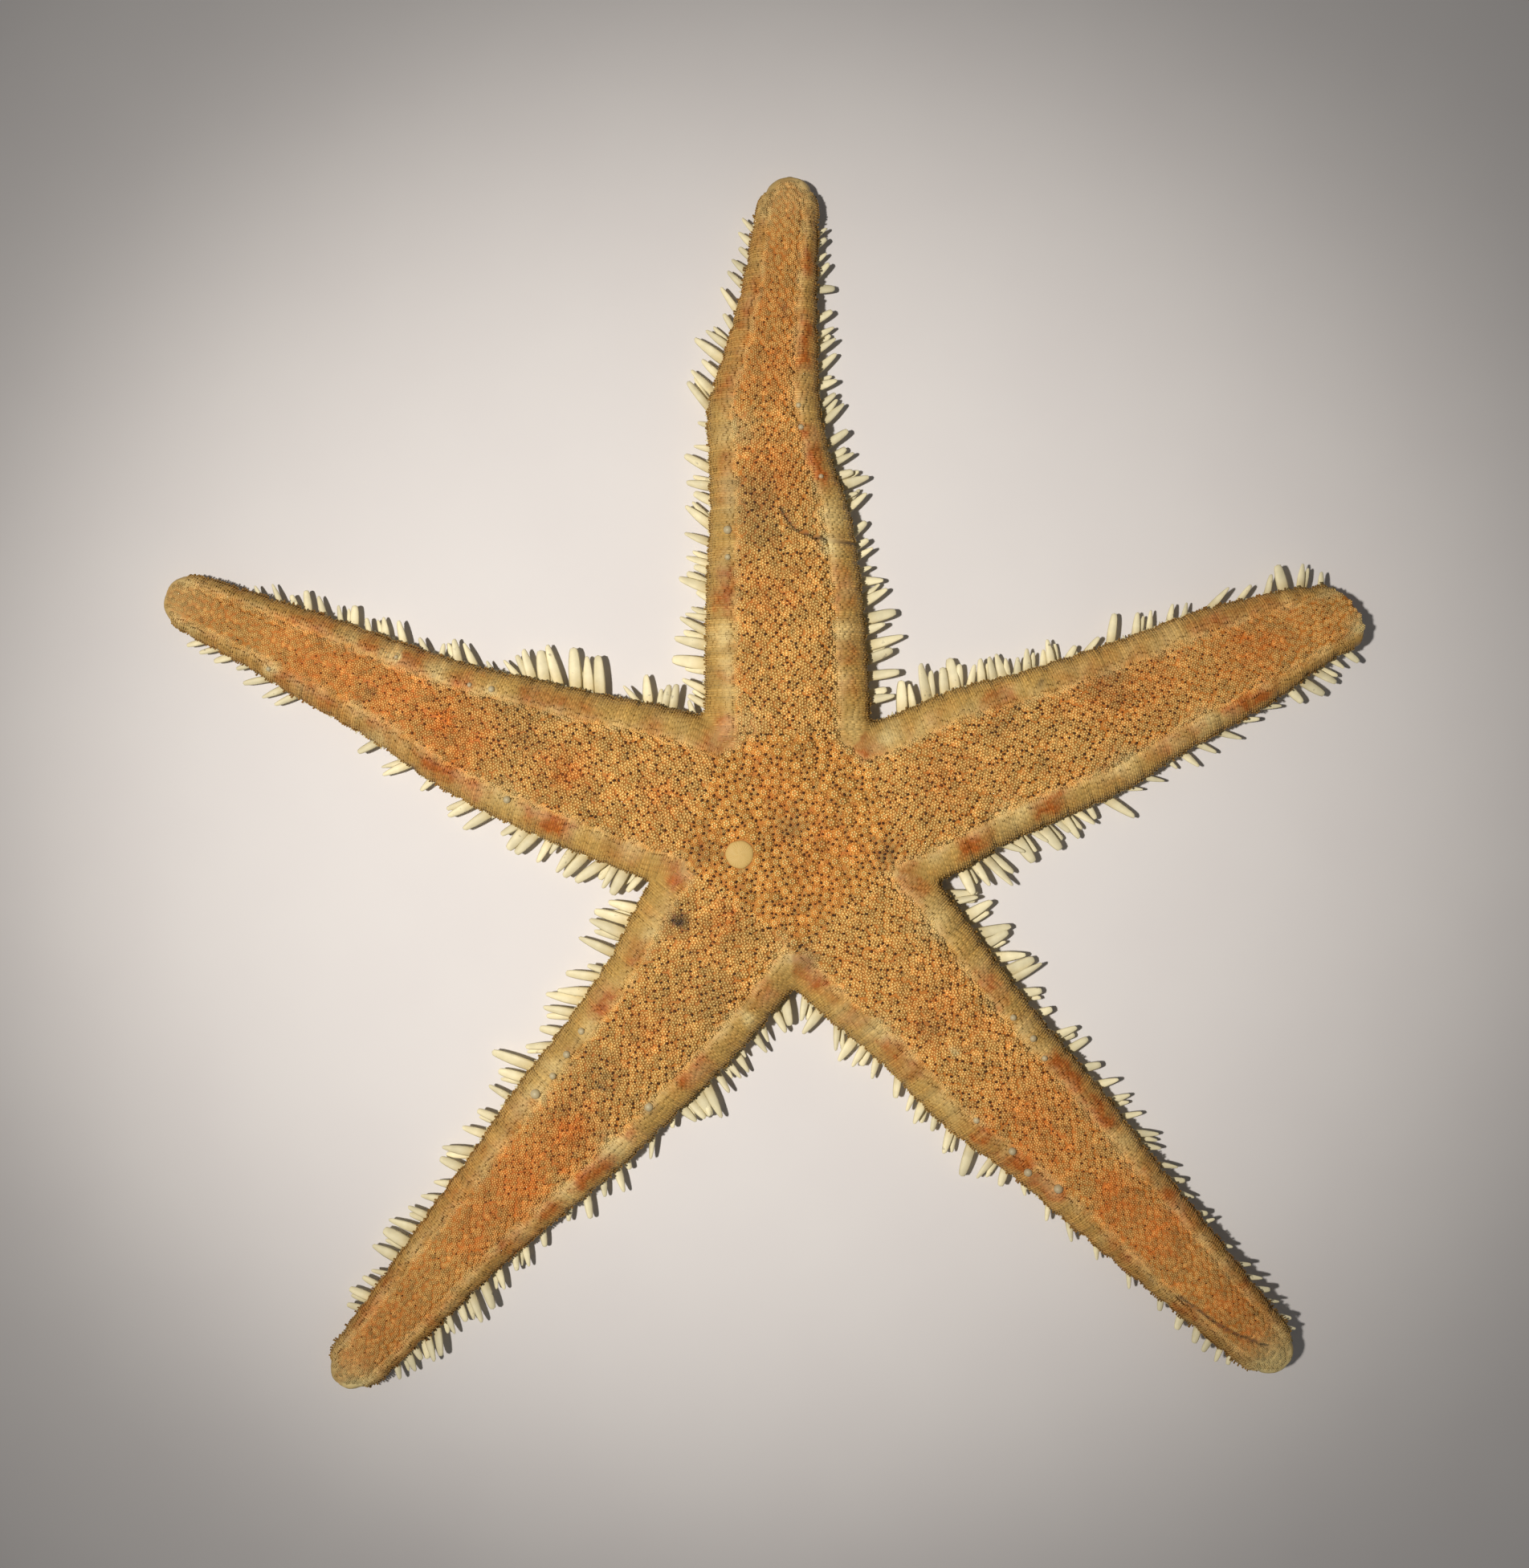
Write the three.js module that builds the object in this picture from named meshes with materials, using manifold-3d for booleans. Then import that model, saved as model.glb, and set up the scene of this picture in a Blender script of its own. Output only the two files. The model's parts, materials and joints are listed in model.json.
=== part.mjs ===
// A dried comb star (a sand star with five slender arms), lying flat on its underside.
//
// The skeleton grew as one piece, so it is one solid: the disc and the five arms, the furrow under
// each arm, the mouth, the sieve plate on the disc, and the comb of flat spines along every edge.
// Millimetres, +Z up. The origin is on the surface that the star rests on, under the middle of its
// box. An arm is described along its own heading: `s` runs outwards from the disc's centre and `t`
// to the left of the heading.

import * as THREE from 'three';
import { mergeVertices } from 'three/addons/utils/BufferGeometryUtils.js';
import Module from 'manifold-3d';

const wasm = await Module();
wasm.setup();

// Driving dimensions.
const DISC_CENTRE = new THREE.Vector2(3.5, -6.4);
const ARM_START = -5;
const CROWN = [[0, 8.7], [20, 9.0], [40, 8.3], [60, 7.0], [80, 5.3], [100, 4.0]];
const LIFT = { start: 42, power: 1.5 };
const ROUND_END = { length: 5, smallest: 0.22 };
const BROKEN_END = { curve: 0.06, middle: -1, reach: 16 };
const SECTION = { shoulder: 0.42, across: 0.72, up: 0.8, under: 1.5 };
const DISC = { slope: 3.2, drop: 0.3 };
const FURROW = { start: 3, stop: 3, wide: 1.7, narrow: 0.6, deep: 2.6, shallow: 0.9, straight: 25 };
const MOUTH = { radius: 4.2, depth: 3.4 };
const SIEVE_PLATE = { x: -7.1, y: -3.6, radius: 1.65, proud: 0.35, edge: 0.3, bevel: 0.4, root: 4 };
const SPINE = { root: 1.3, height: 0.26, rise: 5, thick: 0.8, thin: 0.5, taper: 0.6 };
const SPINE_WIDTH = { base: 0.55, perReach: 0.22, least: 0.7, most: 1.5 };

// How finely each piece is divided.
const ARM_FACES = { sides: 12, stations: 16, crowding: 1.3 };
const FURROW_FACES = { sides: 6, stations: 7 };
const DISC_FACES = { sides: 30, levels: 3 };
const MOUTH_FACES = { sides: 12, levels: 8 };
const SIEVE_PLATE_SIDES = 12;
const HALVINGS = 24;
const WELD_DISTANCE = 1e-5;

// How far the edge of the disc lies from its centre in the corner between two arms, with the
// corner's direction in degrees from +X. The first corner is given again one turn later.
const CORNERS = [
  [-156.6, 20.3], [-88.9, 22.3], [-14.1, 19.6], [47.7, 18.2], [130.6, 18.8], [203.4, 20.3],
];

// Each arm has a heading in degrees from +X, its length, how far its end is lifted off the surface,
// and a course: at a distance s, the offset of its midline and its half width. Each spine of a comb
// is [distance s of its root, reach beyond the edge, lean towards the arm's end in degrees].
const ARMS = [
  {
    name: 'back', heading: 90, length: 89.5, lift: 0.5,
    course: [[-6, 0.4, 11], [22, 0.8, 11.2], [35, 1.2, 10.5], [44, 1.8, 9.5], [50, 2.9, 8.5],
      [57, 3.8, 7.8], [66, 2.7, 6.3], [75, 1.6, 5.1], [84, 0.7, 4.4], [90, 0.2, 4]],
    left: [[16.8, 2.3, 30], [18.8, 3.1, 25], [21.5, 2.7, 5], [22.4, 4.5, 8], [25, 4.2, 12], [26.9, 3.5, 28],
      [28.7, 2.8, 12], [32.9, 3.8, 18], [36.3, 2.9, 15], [39.2, 3.3, 20], [41.6, 3.3, 38], [44.9, 2.2, 25],
      [46.9, 3.2, 8], [49.3, 3.4, 28], [52, 2, 10], [57.8, 2.9, 50], [60, 2.9, 45], [62.2, 2.2, 42],
      [64.3, 3.9, 36], [66.2, 2.9, 36], [71.2, 2.2, 54], [74.6, 2.1, 42], [76.6, 1.9, 40], [80.4, 1.7, 40],
      [82.2, 1.5, 45]],
    right: [[17.4, 3.6, 10], [20.7, 4.4, 8], [22.9, 3.6, 22], [24.8, 5.2, 16], [26.9, 2.8, 20],
      [28.5, 4.4, 14], [30.8, 3.4, 30], [33.8, 3.2, 2], [37.1, 2.2, 30], [38.5, 1.8, 30], [40.4, 1.8, 42],
      [43.7, 2.5, 42], [46.9, 4, 18], [50, 3, 26], [52.6, 2.9, 34], [55.6, 3, 42], [57.9, 2.2, 38],
      [60.6, 2.6, 18], [63, 2.5, 42], [65.6, 2.5, 32], [67.6, 2.3, 28], [69.8, 2.1, 30], [74.1, 2.5, 2],
      [75.9, 1.7, 45]],
  },
  {
    name: 'right', heading: 19.9, length: 83.1, lift: 2.2, broken: true,
    course: [[-6, -1.6, 11.5], [20, -1.8, 11.7], [27, -0.9, 11.2], [35, -1, 10.5], [46, -0.8, 9.8],
      [53, 0, 8.9], [62, 0.8, 8.2], [70, 1.2, 7], [84, 1.6, 5.4]],
    left: [[19.7, 4, 18], [21.3, 3.1, 10], [23.5, 5, 8], [26.1, 3.3, 15], [27.6, 4.2, 10], [29.8, 2.4, 30],
      [31.4, 3.1, 14], [33.1, 3.1, 6], [34.4, 3.3, 3], [37.8, 2.8, 18], [41.3, 3.2, 8], [49.9, 3.6, 28],
      [53.6, 2.7, 24], [55.6, 2.3, 24], [58.5, 2, 30], [64.4, 1.7, 62], [72.3, 2.2, 30], [74.5, 3.3, 4],
      [76.9, 2.5, 26]],
    right: [[20, 3.8, 5], [21.9, 3.8, 14], [23.5, 5.2, 24], [26.6, 2, 50], [28.5, 4, 16], [30.9, 2.2, 36],
      [32.3, 3.9, 20], [35.6, 3.5, 18], [37.5, 2.5, 36], [39.3, 2, 12], [42, 3.7, 38], [54, 2.6, 30],
      [56.4, 2, 46], [59.7, 1.9, 54], [70.7, 2.2, 24], [72.7, 2.7, 38], [74.9, 2.3, 42], [79.6, 1.7, 32]],
  },
  {
    name: 'front_right', heading: -48, length: 99.6, lift: 4,
    course: [[-6, -2, 11.6], [22, -2.2, 11.9], [31, -2, 10.7], [44, -2.1, 9.9], [57, -1, 8.4],
      [66, -0.8, 7.4], [79, -0.2, 6], [88, 0.2, 5], [100, 0.8, 3.8]],
    left: [[21.2, 3.2, 40], [22.5, 3, 30], [25.2, 4.3, 10], [28, 4.3, 28], [29.8, 3.7, 12], [32, 3.6, 36],
      [34.6, 4.3, 16], [35.9, 4.8, 12], [38.2, 2.4, 34], [41.8, 2, 22], [45.7, 3, 18], [48.4, 3.2, 10],
      [51.6, 2.2, 28], [54.5, 2.7, 26], [57.4, 2.6, 24], [60.1, 2.4, 30], [62.9, 2.4, 44], [65, 1.5, 50],
      [68.2, 1.7, 50]],
    right: [[18.8, 2.5, 38], [21.5, 3.8, 10], [24.6, 2.4, 44], [27.5, 3.6, 12], [29.2, 3, 16],
      [31.6, 2.4, 34], [35.6, 2, 40], [38.6, 2.1, 26], [40.4, 2.6, 24], [43, 1.6, 34], [45.7, 2.8, 32],
      [49.2, 3.8, 30], [52.5, 3.2, 8], [54.7, 2, 30], [62.3, 1.6, 40], [85.2, 1.7, 28], [88, 1.6, 32],
      [90.1, 1.8, 18], [91.9, 1.7, 28]],
  },
  {
    name: 'front_left', heading: -128.4, length: 98.8, lift: 1,
    course: [[-6, 1.4, 11.8], [21, 1.8, 12], [28, 2.4, 11.1], [40, 2.2, 9.9], [53, 1.4, 8.8],
      [62, 0.8, 7.5], [70, 0.1, 6.5], [84, -0.6, 5.1], [99, -1.3, 3.8]],
    left: [[19.1, 3, 40], [21.3, 3.2, 22], [23.9, 2.2, 30], [25.6, 3, 16], [29.2, 3, 18], [30.9, 2.8, 10],
      [32.9, 3, 18], [35.1, 4.6, 26], [36.7, 3.5, 22], [38.2, 3.3, 10], [39.7, 2.8, 4], [45.2, 1.8, 56],
      [51.8, 2.8, 34], [54.3, 1.6, 44], [57.2, 2.5, 42], [64.9, 1.7, 44], [68, 2.3, 40], [69.7, 1.7, 44],
      [72.8, 2.5, 34], [75.4, 3.4, 30], [77.8, 3.7, 28], [80, 2.2, 28], [82.2, 2.3, 28], [84.2, 3, 42],
      [86, 3, 34], [89.7, 2.3, 28], [91.7, 1.6, 36]],
    right: [[22.3, 3.4, 24], [24.1, 4.6, 22], [25.9, 4.8, 16], [28.9, 5, 14], [31.6, 2, 20],
      [32.9, 3.8, 30], [35.3, 3.4, 34], [36.7, 4.4, 28], [38.8, 3.6, 28], [42.1, 2.4, 26], [44.4, 2.4, 40],
      [48.1, 5.6, 18], [50.1, 3.3, 22], [53.4, 3.2, 8], [56.7, 2.6, 14], [59.4, 3, 20], [62.4, 3.7, 28],
      [65.1, 3.1, 12], [67.9, 1.8, 30], [70.4, 2.1, 28], [73.2, 2.7, 12], [75.6, 3.8, 18], [77.8, 3.6, 8],
      [80.3, 3.6, 12], [82.9, 1.7, 24], [84.9, 2.2, 8], [86.9, 2.7, 14], [88.8, 1.7, 20]],
  },
  {
    name: 'left', heading: 159.3, length: 92.2, lift: 0.5,
    course: [[-6, 1.8, 11.2], [22, 2.2, 11.6], [31, 2.9, 10.7], [40, 3.2, 9.8], [48, 3.2, 8.6],
      [57, 2.3, 7.2], [70, 1.4, 6], [79, 0.8, 4.9], [92, 0.3, 3.9]],
    left: [[17.1, 2.6, 20], [19.3, 3.7, 8], [20.8, 3.3, 8], [22.6, 3.8, 34], [25.2, 3.8, 24], [27, 3.6, 16],
      [29.4, 1.6, 14], [30.5, 3.4, 8], [32.7, 3.4, 24], [34.2, 3.3, 20], [35.6, 1.8, 38], [39.7, 3.3, 36],
      [42.4, 2.7, 40], [48.7, 1.8, 24], [52.5, 2.6, 46], [57.6, 2.2, 40], [70.4, 2.2, 44], [72.3, 2.2, 46],
      [74.8, 1.8, 58]],
    right: [[18.2, 1.5, 40], [21, 3.3, 12], [22.2, 3, 8], [24.5, 3.5, 26], [31.1, 4.9, 24], [32.7, 4.5, 24],
      [34.5, 5.2, 24], [36.9, 4.5, 38], [38.9, 3.8, 28], [40.6, 3.3, 38], [48.7, 2.4, 46], [51, 2.6, 32],
      [53.4, 1.7, 10], [58.9, 2.6, 34], [61.6, 2.4, 28], [64, 1.5, 30], [66.2, 2.6, 18], [68.2, 1.8, 30],
      [70.6, 2.1, 38], [72.8, 2.4, 28], [77, 1.8, 44]],
  },
];

const radians = THREE.MathUtils.degToRad;
const { clamp, lerp, smoothstep } = THREE.MathUtils;

/** Height of the crown above the underside, at a distance s from the disc's centre. */
function crownHeight(s) {
  const next = Math.max(1, CROWN.findIndex(([distance]) => distance >= s));
  const [s0, h0] = CROWN[next - 1];
  const [s1, h1] = CROWN[next];
  return lerp(h0, h1, clamp((s - s0) / (s1 - s0), 0, 1));
}

/** How far the arm's underside stands off the surface at s: nothing near the disc. */
function liftAt(arm, s) {
  return arm.lift * smoothstep(s, LIFT.start, arm.length) ** LIFT.power;
}

/** A smooth curve through one column of an arm's course, against the distance s. */
function curveThrough(course, column) {
  return new THREE.SplineCurve(course.map((row) => new THREE.Vector2(row[0], row[column])));
}

/** The arm's midline offset and half width at s, from a smooth curve through its course. */
function courseAt(arm, s) {
  arm.midline ??= curveThrough(arm.course, 1);
  arm.widths ??= curveThrough(arm.course, 2);
  return { offset: heightAlong(arm.midline, s), half: heightAlong(arm.widths, s) };
}

/** The y of a left-to-right curve at a given x, by halving the interval. */
function heightAlong(curve, x) {
  let [low, high] = [0, 1];
  for (let step = 0; step < HALVINGS; step += 1) {
    const middle = (low + high) / 2;
    if (curve.getPoint(middle).x < x) low = middle;
    else high = middle;
  }
  return curve.getPoint((low + high) / 2).y;
}

/** How much of its full section an arm has at s: it closes in a round end, or stays full if broken. */
function endScale(arm, s) {
  const into = (s - (arm.length - ROUND_END.length)) / ROUND_END.length;
  if (arm.broken || into <= 0) return 1;
  return Math.max(ROUND_END.smallest, Math.sqrt(1 - Math.min(into, 1) ** 2));
}

/** A point of the arm's frame (s, t, z) in the part's frame. */
function place(arm, s, t, z) {
  const turn = radians(arm.heading);
  return new THREE.Vector3(
    DISC_CENTRE.x + s * Math.cos(turn) - t * Math.sin(turn),
    DISC_CENTRE.y + s * Math.sin(turn) + t * Math.cos(turn),
    z,
  );
}

/** A signed power, which squares off a cosine or sine. */
function squared(value, power) {
  return Math.sign(value) * Math.abs(value) ** power;
}

/** A closed solid made by moving every point of a three.js geometry with the function `move`. */
function solidFrom(geometry, move = (point) => point) {
  const bare = geometry.index ? geometry.clone() : mergeVertices(geometry);
  bare.deleteAttribute('normal');
  bare.deleteAttribute('uv');
  const merged = mergeVertices(bare, WELD_DISTANCE);
  const position = merged.getAttribute('position');
  const moved = new Float32Array(position.count * 3);
  const point = new THREE.Vector3();
  for (let i = 0; i < position.count; i += 1) {
    move(point.fromBufferAttribute(position, i)).toArray(moved, i * 3);
  }
  const triVerts = Uint32Array.from(merged.index.array);
  const solid = new wasm.Manifold(new wasm.Mesh({ numProp: 3, vertProperties: moved, triVerts }));
  if (solid.volume() > 0) return solid;
  for (let i = 0; i < triVerts.length; i += 3) {
    [triVerts[i], triVerts[i + 1]] = [triVerts[i + 1], triVerts[i]];
  }
  return new wasm.Manifold(new wasm.Mesh({ numProp: 3, vertProperties: moved, triVerts }));
}

/** How far the end of a broken arm is worn back at (s, t): more towards its two edges. */
function wornBack(arm, s, t) {
  if (!arm.broken) return 0;
  const near = smoothstep(s, arm.length - BROKEN_END.reach, arm.length);
  return BROKEN_END.curve * (t - BROKEN_END.middle) ** 2 * near;
}

/** An arm: a flat underside, upright edges and a low crown, lofted from inside the disc to its end. */
function armSolid(arm) {
  const tube = new THREE.CylinderGeometry(1, 1, 1, ARM_FACES.sides, ARM_FACES.stations);
  return solidFrom(tube, (point) => {
    const s = lerp(ARM_START, arm.length, 1 - (0.5 - point.y) ** ARM_FACES.crowding);
    const { offset, half } = courseAt(arm, s);
    const scale = endScale(arm, s) * Math.hypot(point.x, point.z);
    const angle = Math.atan2(point.z, point.x);
    const crown = crownHeight(s);
    const shoulder = crown * SECTION.shoulder;
    const bulge = Math.abs(Math.sin(angle)) ** SECTION.up;
    const above = (crown - shoulder) * bulge;
    const below = -Math.min(shoulder, SECTION.under * shoulder * bulge);
    const rise = Math.sin(angle) > 0 ? above : below;
    const t = offset + half * scale * squared(Math.cos(angle), SECTION.across);
    return place(arm, s - wornBack(arm, s, t), t, liftAt(arm, s) + shoulder + rise * scale);
  });
}

/** The furrow along the middle of an arm's underside, as the solid that is cut away. */
function furrowSolid(arm) {
  const groove = new THREE.CylinderGeometry(1, 1, 1, FURROW_FACES.sides, FURROW_FACES.stations);
  return solidFrom(groove, (point) => {
    const along = point.y + 0.5;
    const s = lerp(FURROW.start, arm.length - FURROW.stop, along);
    const half = lerp(FURROW.wide, FURROW.narrow, along);
    const depth = lerp(FURROW.deep, FURROW.shallow, along);
    const middle = courseAt(arm, s).offset * smoothstep(s, 0, FURROW.straight);
    return place(arm, s, middle + point.x * half, liftAt(arm, s) + point.z * depth);
  });
}

/** One spine of a comb: a flat blade rooted inside the arm's edge, leaning to the arm's end. */
function spineSolid(arm, side, [s, reach, lean]) {
  const { offset, half } = courseAt(arm, s);
  const direction = new THREE.Vector3(
    Math.sin(radians(lean)),
    side * Math.cos(radians(lean)),
    Math.tan(radians(SPINE.rise)),
  ).normalize();
  const length = reach / Math.cos(radians(lean)) + SPINE.root;
  const { base, perReach, least, most } = SPINE_WIDTH;
  const width = clamp(base + perReach * reach, least, most);
  const across = new THREE.Vector3(0, 0, 1).cross(direction).normalize();
  const upright = direction.clone().cross(across);
  const root = new THREE.Vector3(s, offset + side * (half * endScale(arm, s)), 0)
    .addScaledVector(direction, -SPINE.root)
    .setZ(liftAt(arm, s) + SPINE.height * crownHeight(s));
  return solidFrom(new THREE.BoxGeometry(1, 1, 1), (point) => {
    const along = point.y + 0.5;
    const blade = root.clone()
      .addScaledVector(direction, along * length)
      .addScaledVector(across, point.x * width * lerp(1, SPINE.taper, along))
      .addScaledVector(upright, point.z * lerp(SPINE.thick, SPINE.thin, along));
    return place(arm, blade.x, blade.y, blade.z);
  });
}

/** How far the edge of the disc lies from its centre, in a direction in degrees. */
function rimRadius(degrees) {
  const next = CORNERS.findIndex(([direction]) => direction >= degrees);
  const [from, to] = [CORNERS[next - 1] ?? CORNERS.at(-2), CORNERS[next]];
  const before = from[0] > degrees ? from[0] - 360 : from[0];
  return lerp(from[1], to[1], (degrees - before) / (to[0] - before));
}

/** A point at a radius, an angle and a height about the disc's axis, in the part's frame. */
function aboutDisc(radius, angle, z) {
  return new THREE.Vector3(
    DISC_CENTRE.x + radius * Math.cos(angle),
    DISC_CENTRE.y + radius * Math.sin(angle),
    z,
  );
}

/** The disc between the arms: a low drum whose rim runs through the corners. */
function discSolid() {
  const drum = new THREE.CylinderGeometry(1, 1, 1, DISC_FACES.sides, DISC_FACES.levels);
  return solidFrom(drum, (point) => {
    const angle = Math.atan2(point.z, point.x);
    const level = point.y + 0.5;
    const rim = rimRadius(THREE.MathUtils.radToDeg(angle)) - DISC.slope * level ** 3;
    return aboutDisc(Math.hypot(point.x, point.z) * rim, angle, level * (CROWN[0][1] - DISC.drop));
  });
}

/** The mouth in the middle of the underside, as the solid that is cut away. */
function mouthSolid() {
  const ball = new THREE.SphereGeometry(1, MOUTH_FACES.sides, MOUTH_FACES.levels);
  return solidFrom(ball, (point) => new THREE.Vector3(
    DISC_CENTRE.x + point.x * MOUTH.radius,
    DISC_CENTRE.y + point.y * MOUTH.radius,
    point.z * MOUTH.depth,
  ));
}

/** The sieve plate: a small low button on top of the disc. */
function sievePlateSolid() {
  const { x, y, radius, proud, edge, bevel, root } = SIEVE_PLATE;
  const top = CROWN[0][1] + proud;
  const profile = [
    new THREE.Vector2(0, top - root),
    new THREE.Vector2(radius, top - root),
    new THREE.Vector2(radius, top - edge),
    new THREE.Vector2(radius - bevel, top),
    new THREE.Vector2(0, top),
  ];
  const button = new THREE.LatheGeometry(profile, SIEVE_PLATE_SIDES);
  return solidFrom(button, (point) => new THREE.Vector3(
    DISC_CENTRE.x + x + point.x,
    DISC_CENTRE.y + y + point.z,
    point.y,
  ));
}

/** The whole star as one solid. */
function starSolid() {
  const bodies = [discSolid(), sievePlateSolid(), ...ARMS.map(armSolid)];
  const hollows = [mouthSolid(), ...ARMS.map(furrowSolid)];
  const combs = ARMS.flatMap((arm) => [
    ...arm.left.map((spine) => spineSolid(arm, 1, spine)),
    ...arm.right.map((spine) => spineSolid(arm, -1, spine)),
  ]);
  const body = wasm.Manifold.union(bodies).subtract(wasm.Manifold.union(hollows));
  return body.add(wasm.Manifold.union(combs));
}

/** The three.js geometry of a solid. */
function geometryOf(solid) {
  const mesh = solid.getMesh();
  const geometry = new THREE.BufferGeometry();
  geometry.setAttribute('position', new THREE.BufferAttribute(Float32Array.from(mesh.vertProperties), 3));
  geometry.setIndex(new THREE.BufferAttribute(Uint32Array.from(mesh.triVerts), 1));
  geometry.computeVertexNormals();
  return geometry;
}

const driedSkin = new THREE.MeshStandardMaterial({ color: '#c18c46', roughness: 0.85, metalness: 0 });
const starfish = new THREE.Mesh(geometryOf(starSolid()), driedSkin);
starfish.name = 'starfish';

const part = new THREE.Group();
part.add(starfish);

export default part;
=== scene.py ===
"""The looks of a dried comb star: a sand star with five slender arms, one of them broken off.

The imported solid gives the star's place and size. Sizes in the classes are millimetres, and a
finished mesh is in metres. An arm is described along its own heading: s runs outwards from the
middle of the disc and t to the left of the heading.
"""

import json
import logging
import math
from dataclasses import dataclass, field
from enum import Enum
from functools import reduce
from typing import Callable, Iterator, Sequence

import bmesh
import bpy
import numpy as np
from mathutils import Matrix, Vector
from mathutils.bvhtree import BVHTree

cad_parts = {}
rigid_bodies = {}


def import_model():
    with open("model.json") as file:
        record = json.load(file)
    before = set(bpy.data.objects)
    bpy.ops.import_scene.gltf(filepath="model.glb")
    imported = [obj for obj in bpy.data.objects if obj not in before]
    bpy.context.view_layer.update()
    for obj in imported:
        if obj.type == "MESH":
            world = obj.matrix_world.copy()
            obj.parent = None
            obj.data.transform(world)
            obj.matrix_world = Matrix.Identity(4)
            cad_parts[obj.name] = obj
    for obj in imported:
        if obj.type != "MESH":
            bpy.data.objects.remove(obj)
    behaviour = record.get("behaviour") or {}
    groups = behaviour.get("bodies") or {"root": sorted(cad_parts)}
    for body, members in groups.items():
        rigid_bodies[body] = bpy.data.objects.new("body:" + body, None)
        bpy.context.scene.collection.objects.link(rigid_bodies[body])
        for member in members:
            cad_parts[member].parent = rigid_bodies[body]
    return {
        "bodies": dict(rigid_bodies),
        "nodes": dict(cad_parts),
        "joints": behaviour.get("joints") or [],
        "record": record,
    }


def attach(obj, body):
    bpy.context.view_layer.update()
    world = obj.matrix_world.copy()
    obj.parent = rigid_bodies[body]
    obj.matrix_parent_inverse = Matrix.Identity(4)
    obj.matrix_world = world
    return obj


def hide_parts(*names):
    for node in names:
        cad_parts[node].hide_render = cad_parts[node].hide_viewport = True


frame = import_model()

Array = np.ndarray
Colour = tuple[float, float, float, float]
Columns = tuple[Array, ...]
Piece = bpy.types.Object
Finish = bpy.types.Material
Socket = bpy.types.NodeSocket
Rng = np.random.Generator
log = logging.getLogger("comb_star")

MM = 0.001  # one millimetre, in metres
BODY = "root"  # the body that everything rides on
NODE = "starfish"  # the CAD node the skin stands for
UP = (0.0, 0.0, 1.0)
DOWN = (0.0, 0.0, -1.0)
FAR = 99.0  # farther than any place on the star
DISC_CENTRE = (3.5, -6.4)  # the disc's middle
DISC_REACH = 19.0  # how far out the disc's columns are tried
ARMS_BEGIN = 12.0  # the arms' rows begin this far out
ARM_START = -5.0  # where an arm's shell starts, inside the disc
PLATE_PITCH = 2.9  # the first edge plate's length
PLATE_GROWTH = 130.0  # how slowly the plates shorten outwards
# The edge plates' width seen from above, at each s.
BAND = ((15.0, 30.0, 60.0, 78.0, 90.0), (4.6, 4.3, 3.4, 2.3, 1.7))
# The height of the back, at each s.
CROWN = ((0.0, 8.7), (20.0, 9.0), (40.0, 8.3), (60.0, 7.0), (80.0, 5.3), (100.0, 4.0))
RELIEF = 0.42  # how far the columns stand over the skin
SHOULDER = 0.42  # the widest place, as a share of the height
UNDER = 0.95  # the underside's height before its furrows
LIFT_START = 42.0  # an arm begins to rise off the table here
ROUND_END = 5.0  # the length over which an arm closes
# The disc's rim: angle in degrees, and distance from the middle.
CORNERS = ((-156.6, 20.3), (-88.9, 22.3), (-14.1, 19.6), (47.7, 18.2), (130.6, 18.8), (203.4, 20.3))
VOXEL = 0.5  # the remesh's grid
BACK_SQUARE = 0.68  # how square an arm's section is
CROWN_FULL = 0.8  # how full an arm's back is
# How flat the underside is: slope and power.
BELLY = (1.45, 0.8)
DISC_FULL = 0.7  # how full the disc's back is
BUMP_DEPTH = 0.0001  # metres


class Side(Enum):
    """The two sides of an arm, looking outwards along it."""

    LEFT = 1
    RIGHT = -1


class Seed(Enum):
    """Where each layer's random draws start."""

    PAXILLAE = 40
    DISC = 60
    PHASE = 70
    EDGE_PLATES = 80
    COMBS = 100
    FRINGE = 120
    SCALES = 140
    FURROWS = 160
    FEET = 180
    JAWS = 200
    BEADS = 220

    def draws(self, number: int = 0) -> Rng:
        """The layer's random draws, or those of one of its arms."""
        return np.random.default_rng(self.value + number)


def smooth(low: float, high: float, x: Array) -> Array:
    """A smooth step from 0 at low to 1 at high."""
    u = np.clip((np.asarray(x, float) - low) / (high - low), 0.0, 1.0)
    return u * u * (3.0 - 2.0 * u)


def bump(x: Array, width: float) -> Array:
    """A bell of height 1 at x = 0."""
    return np.exp(-((np.asarray(x, float) / width) ** 2))


def smooth_line(x: Array, knots: Sequence[float], values: Sequence[float]) -> Array:
    """A smooth curve through the points (knots, values).

    Args:
        x: where to read it.
        knots: rising abscissae.
        values: the ordinate at each knot.

    Returns:
        The curve's height at each x.
    """
    knots = np.asarray(knots, float)
    values = np.asarray(values, float)
    slopes = np.gradient(values, knots)
    x = np.clip(np.asarray(x, float), knots[0], knots[-1])
    i = np.clip(np.searchsorted(knots, x) - 1, 0, len(knots) - 2)
    step = knots[i + 1] - knots[i]
    u = (x - knots[i]) / step
    first = (1 + 2 * u) * (1 - u) ** 2 * values[i] + u * (1 - u) ** 2 * step * slopes[i]
    return first + u * u * (3 - 2 * u) * values[i + 1] + u * u * (u - 1) * step * slopes[i + 1]


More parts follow.
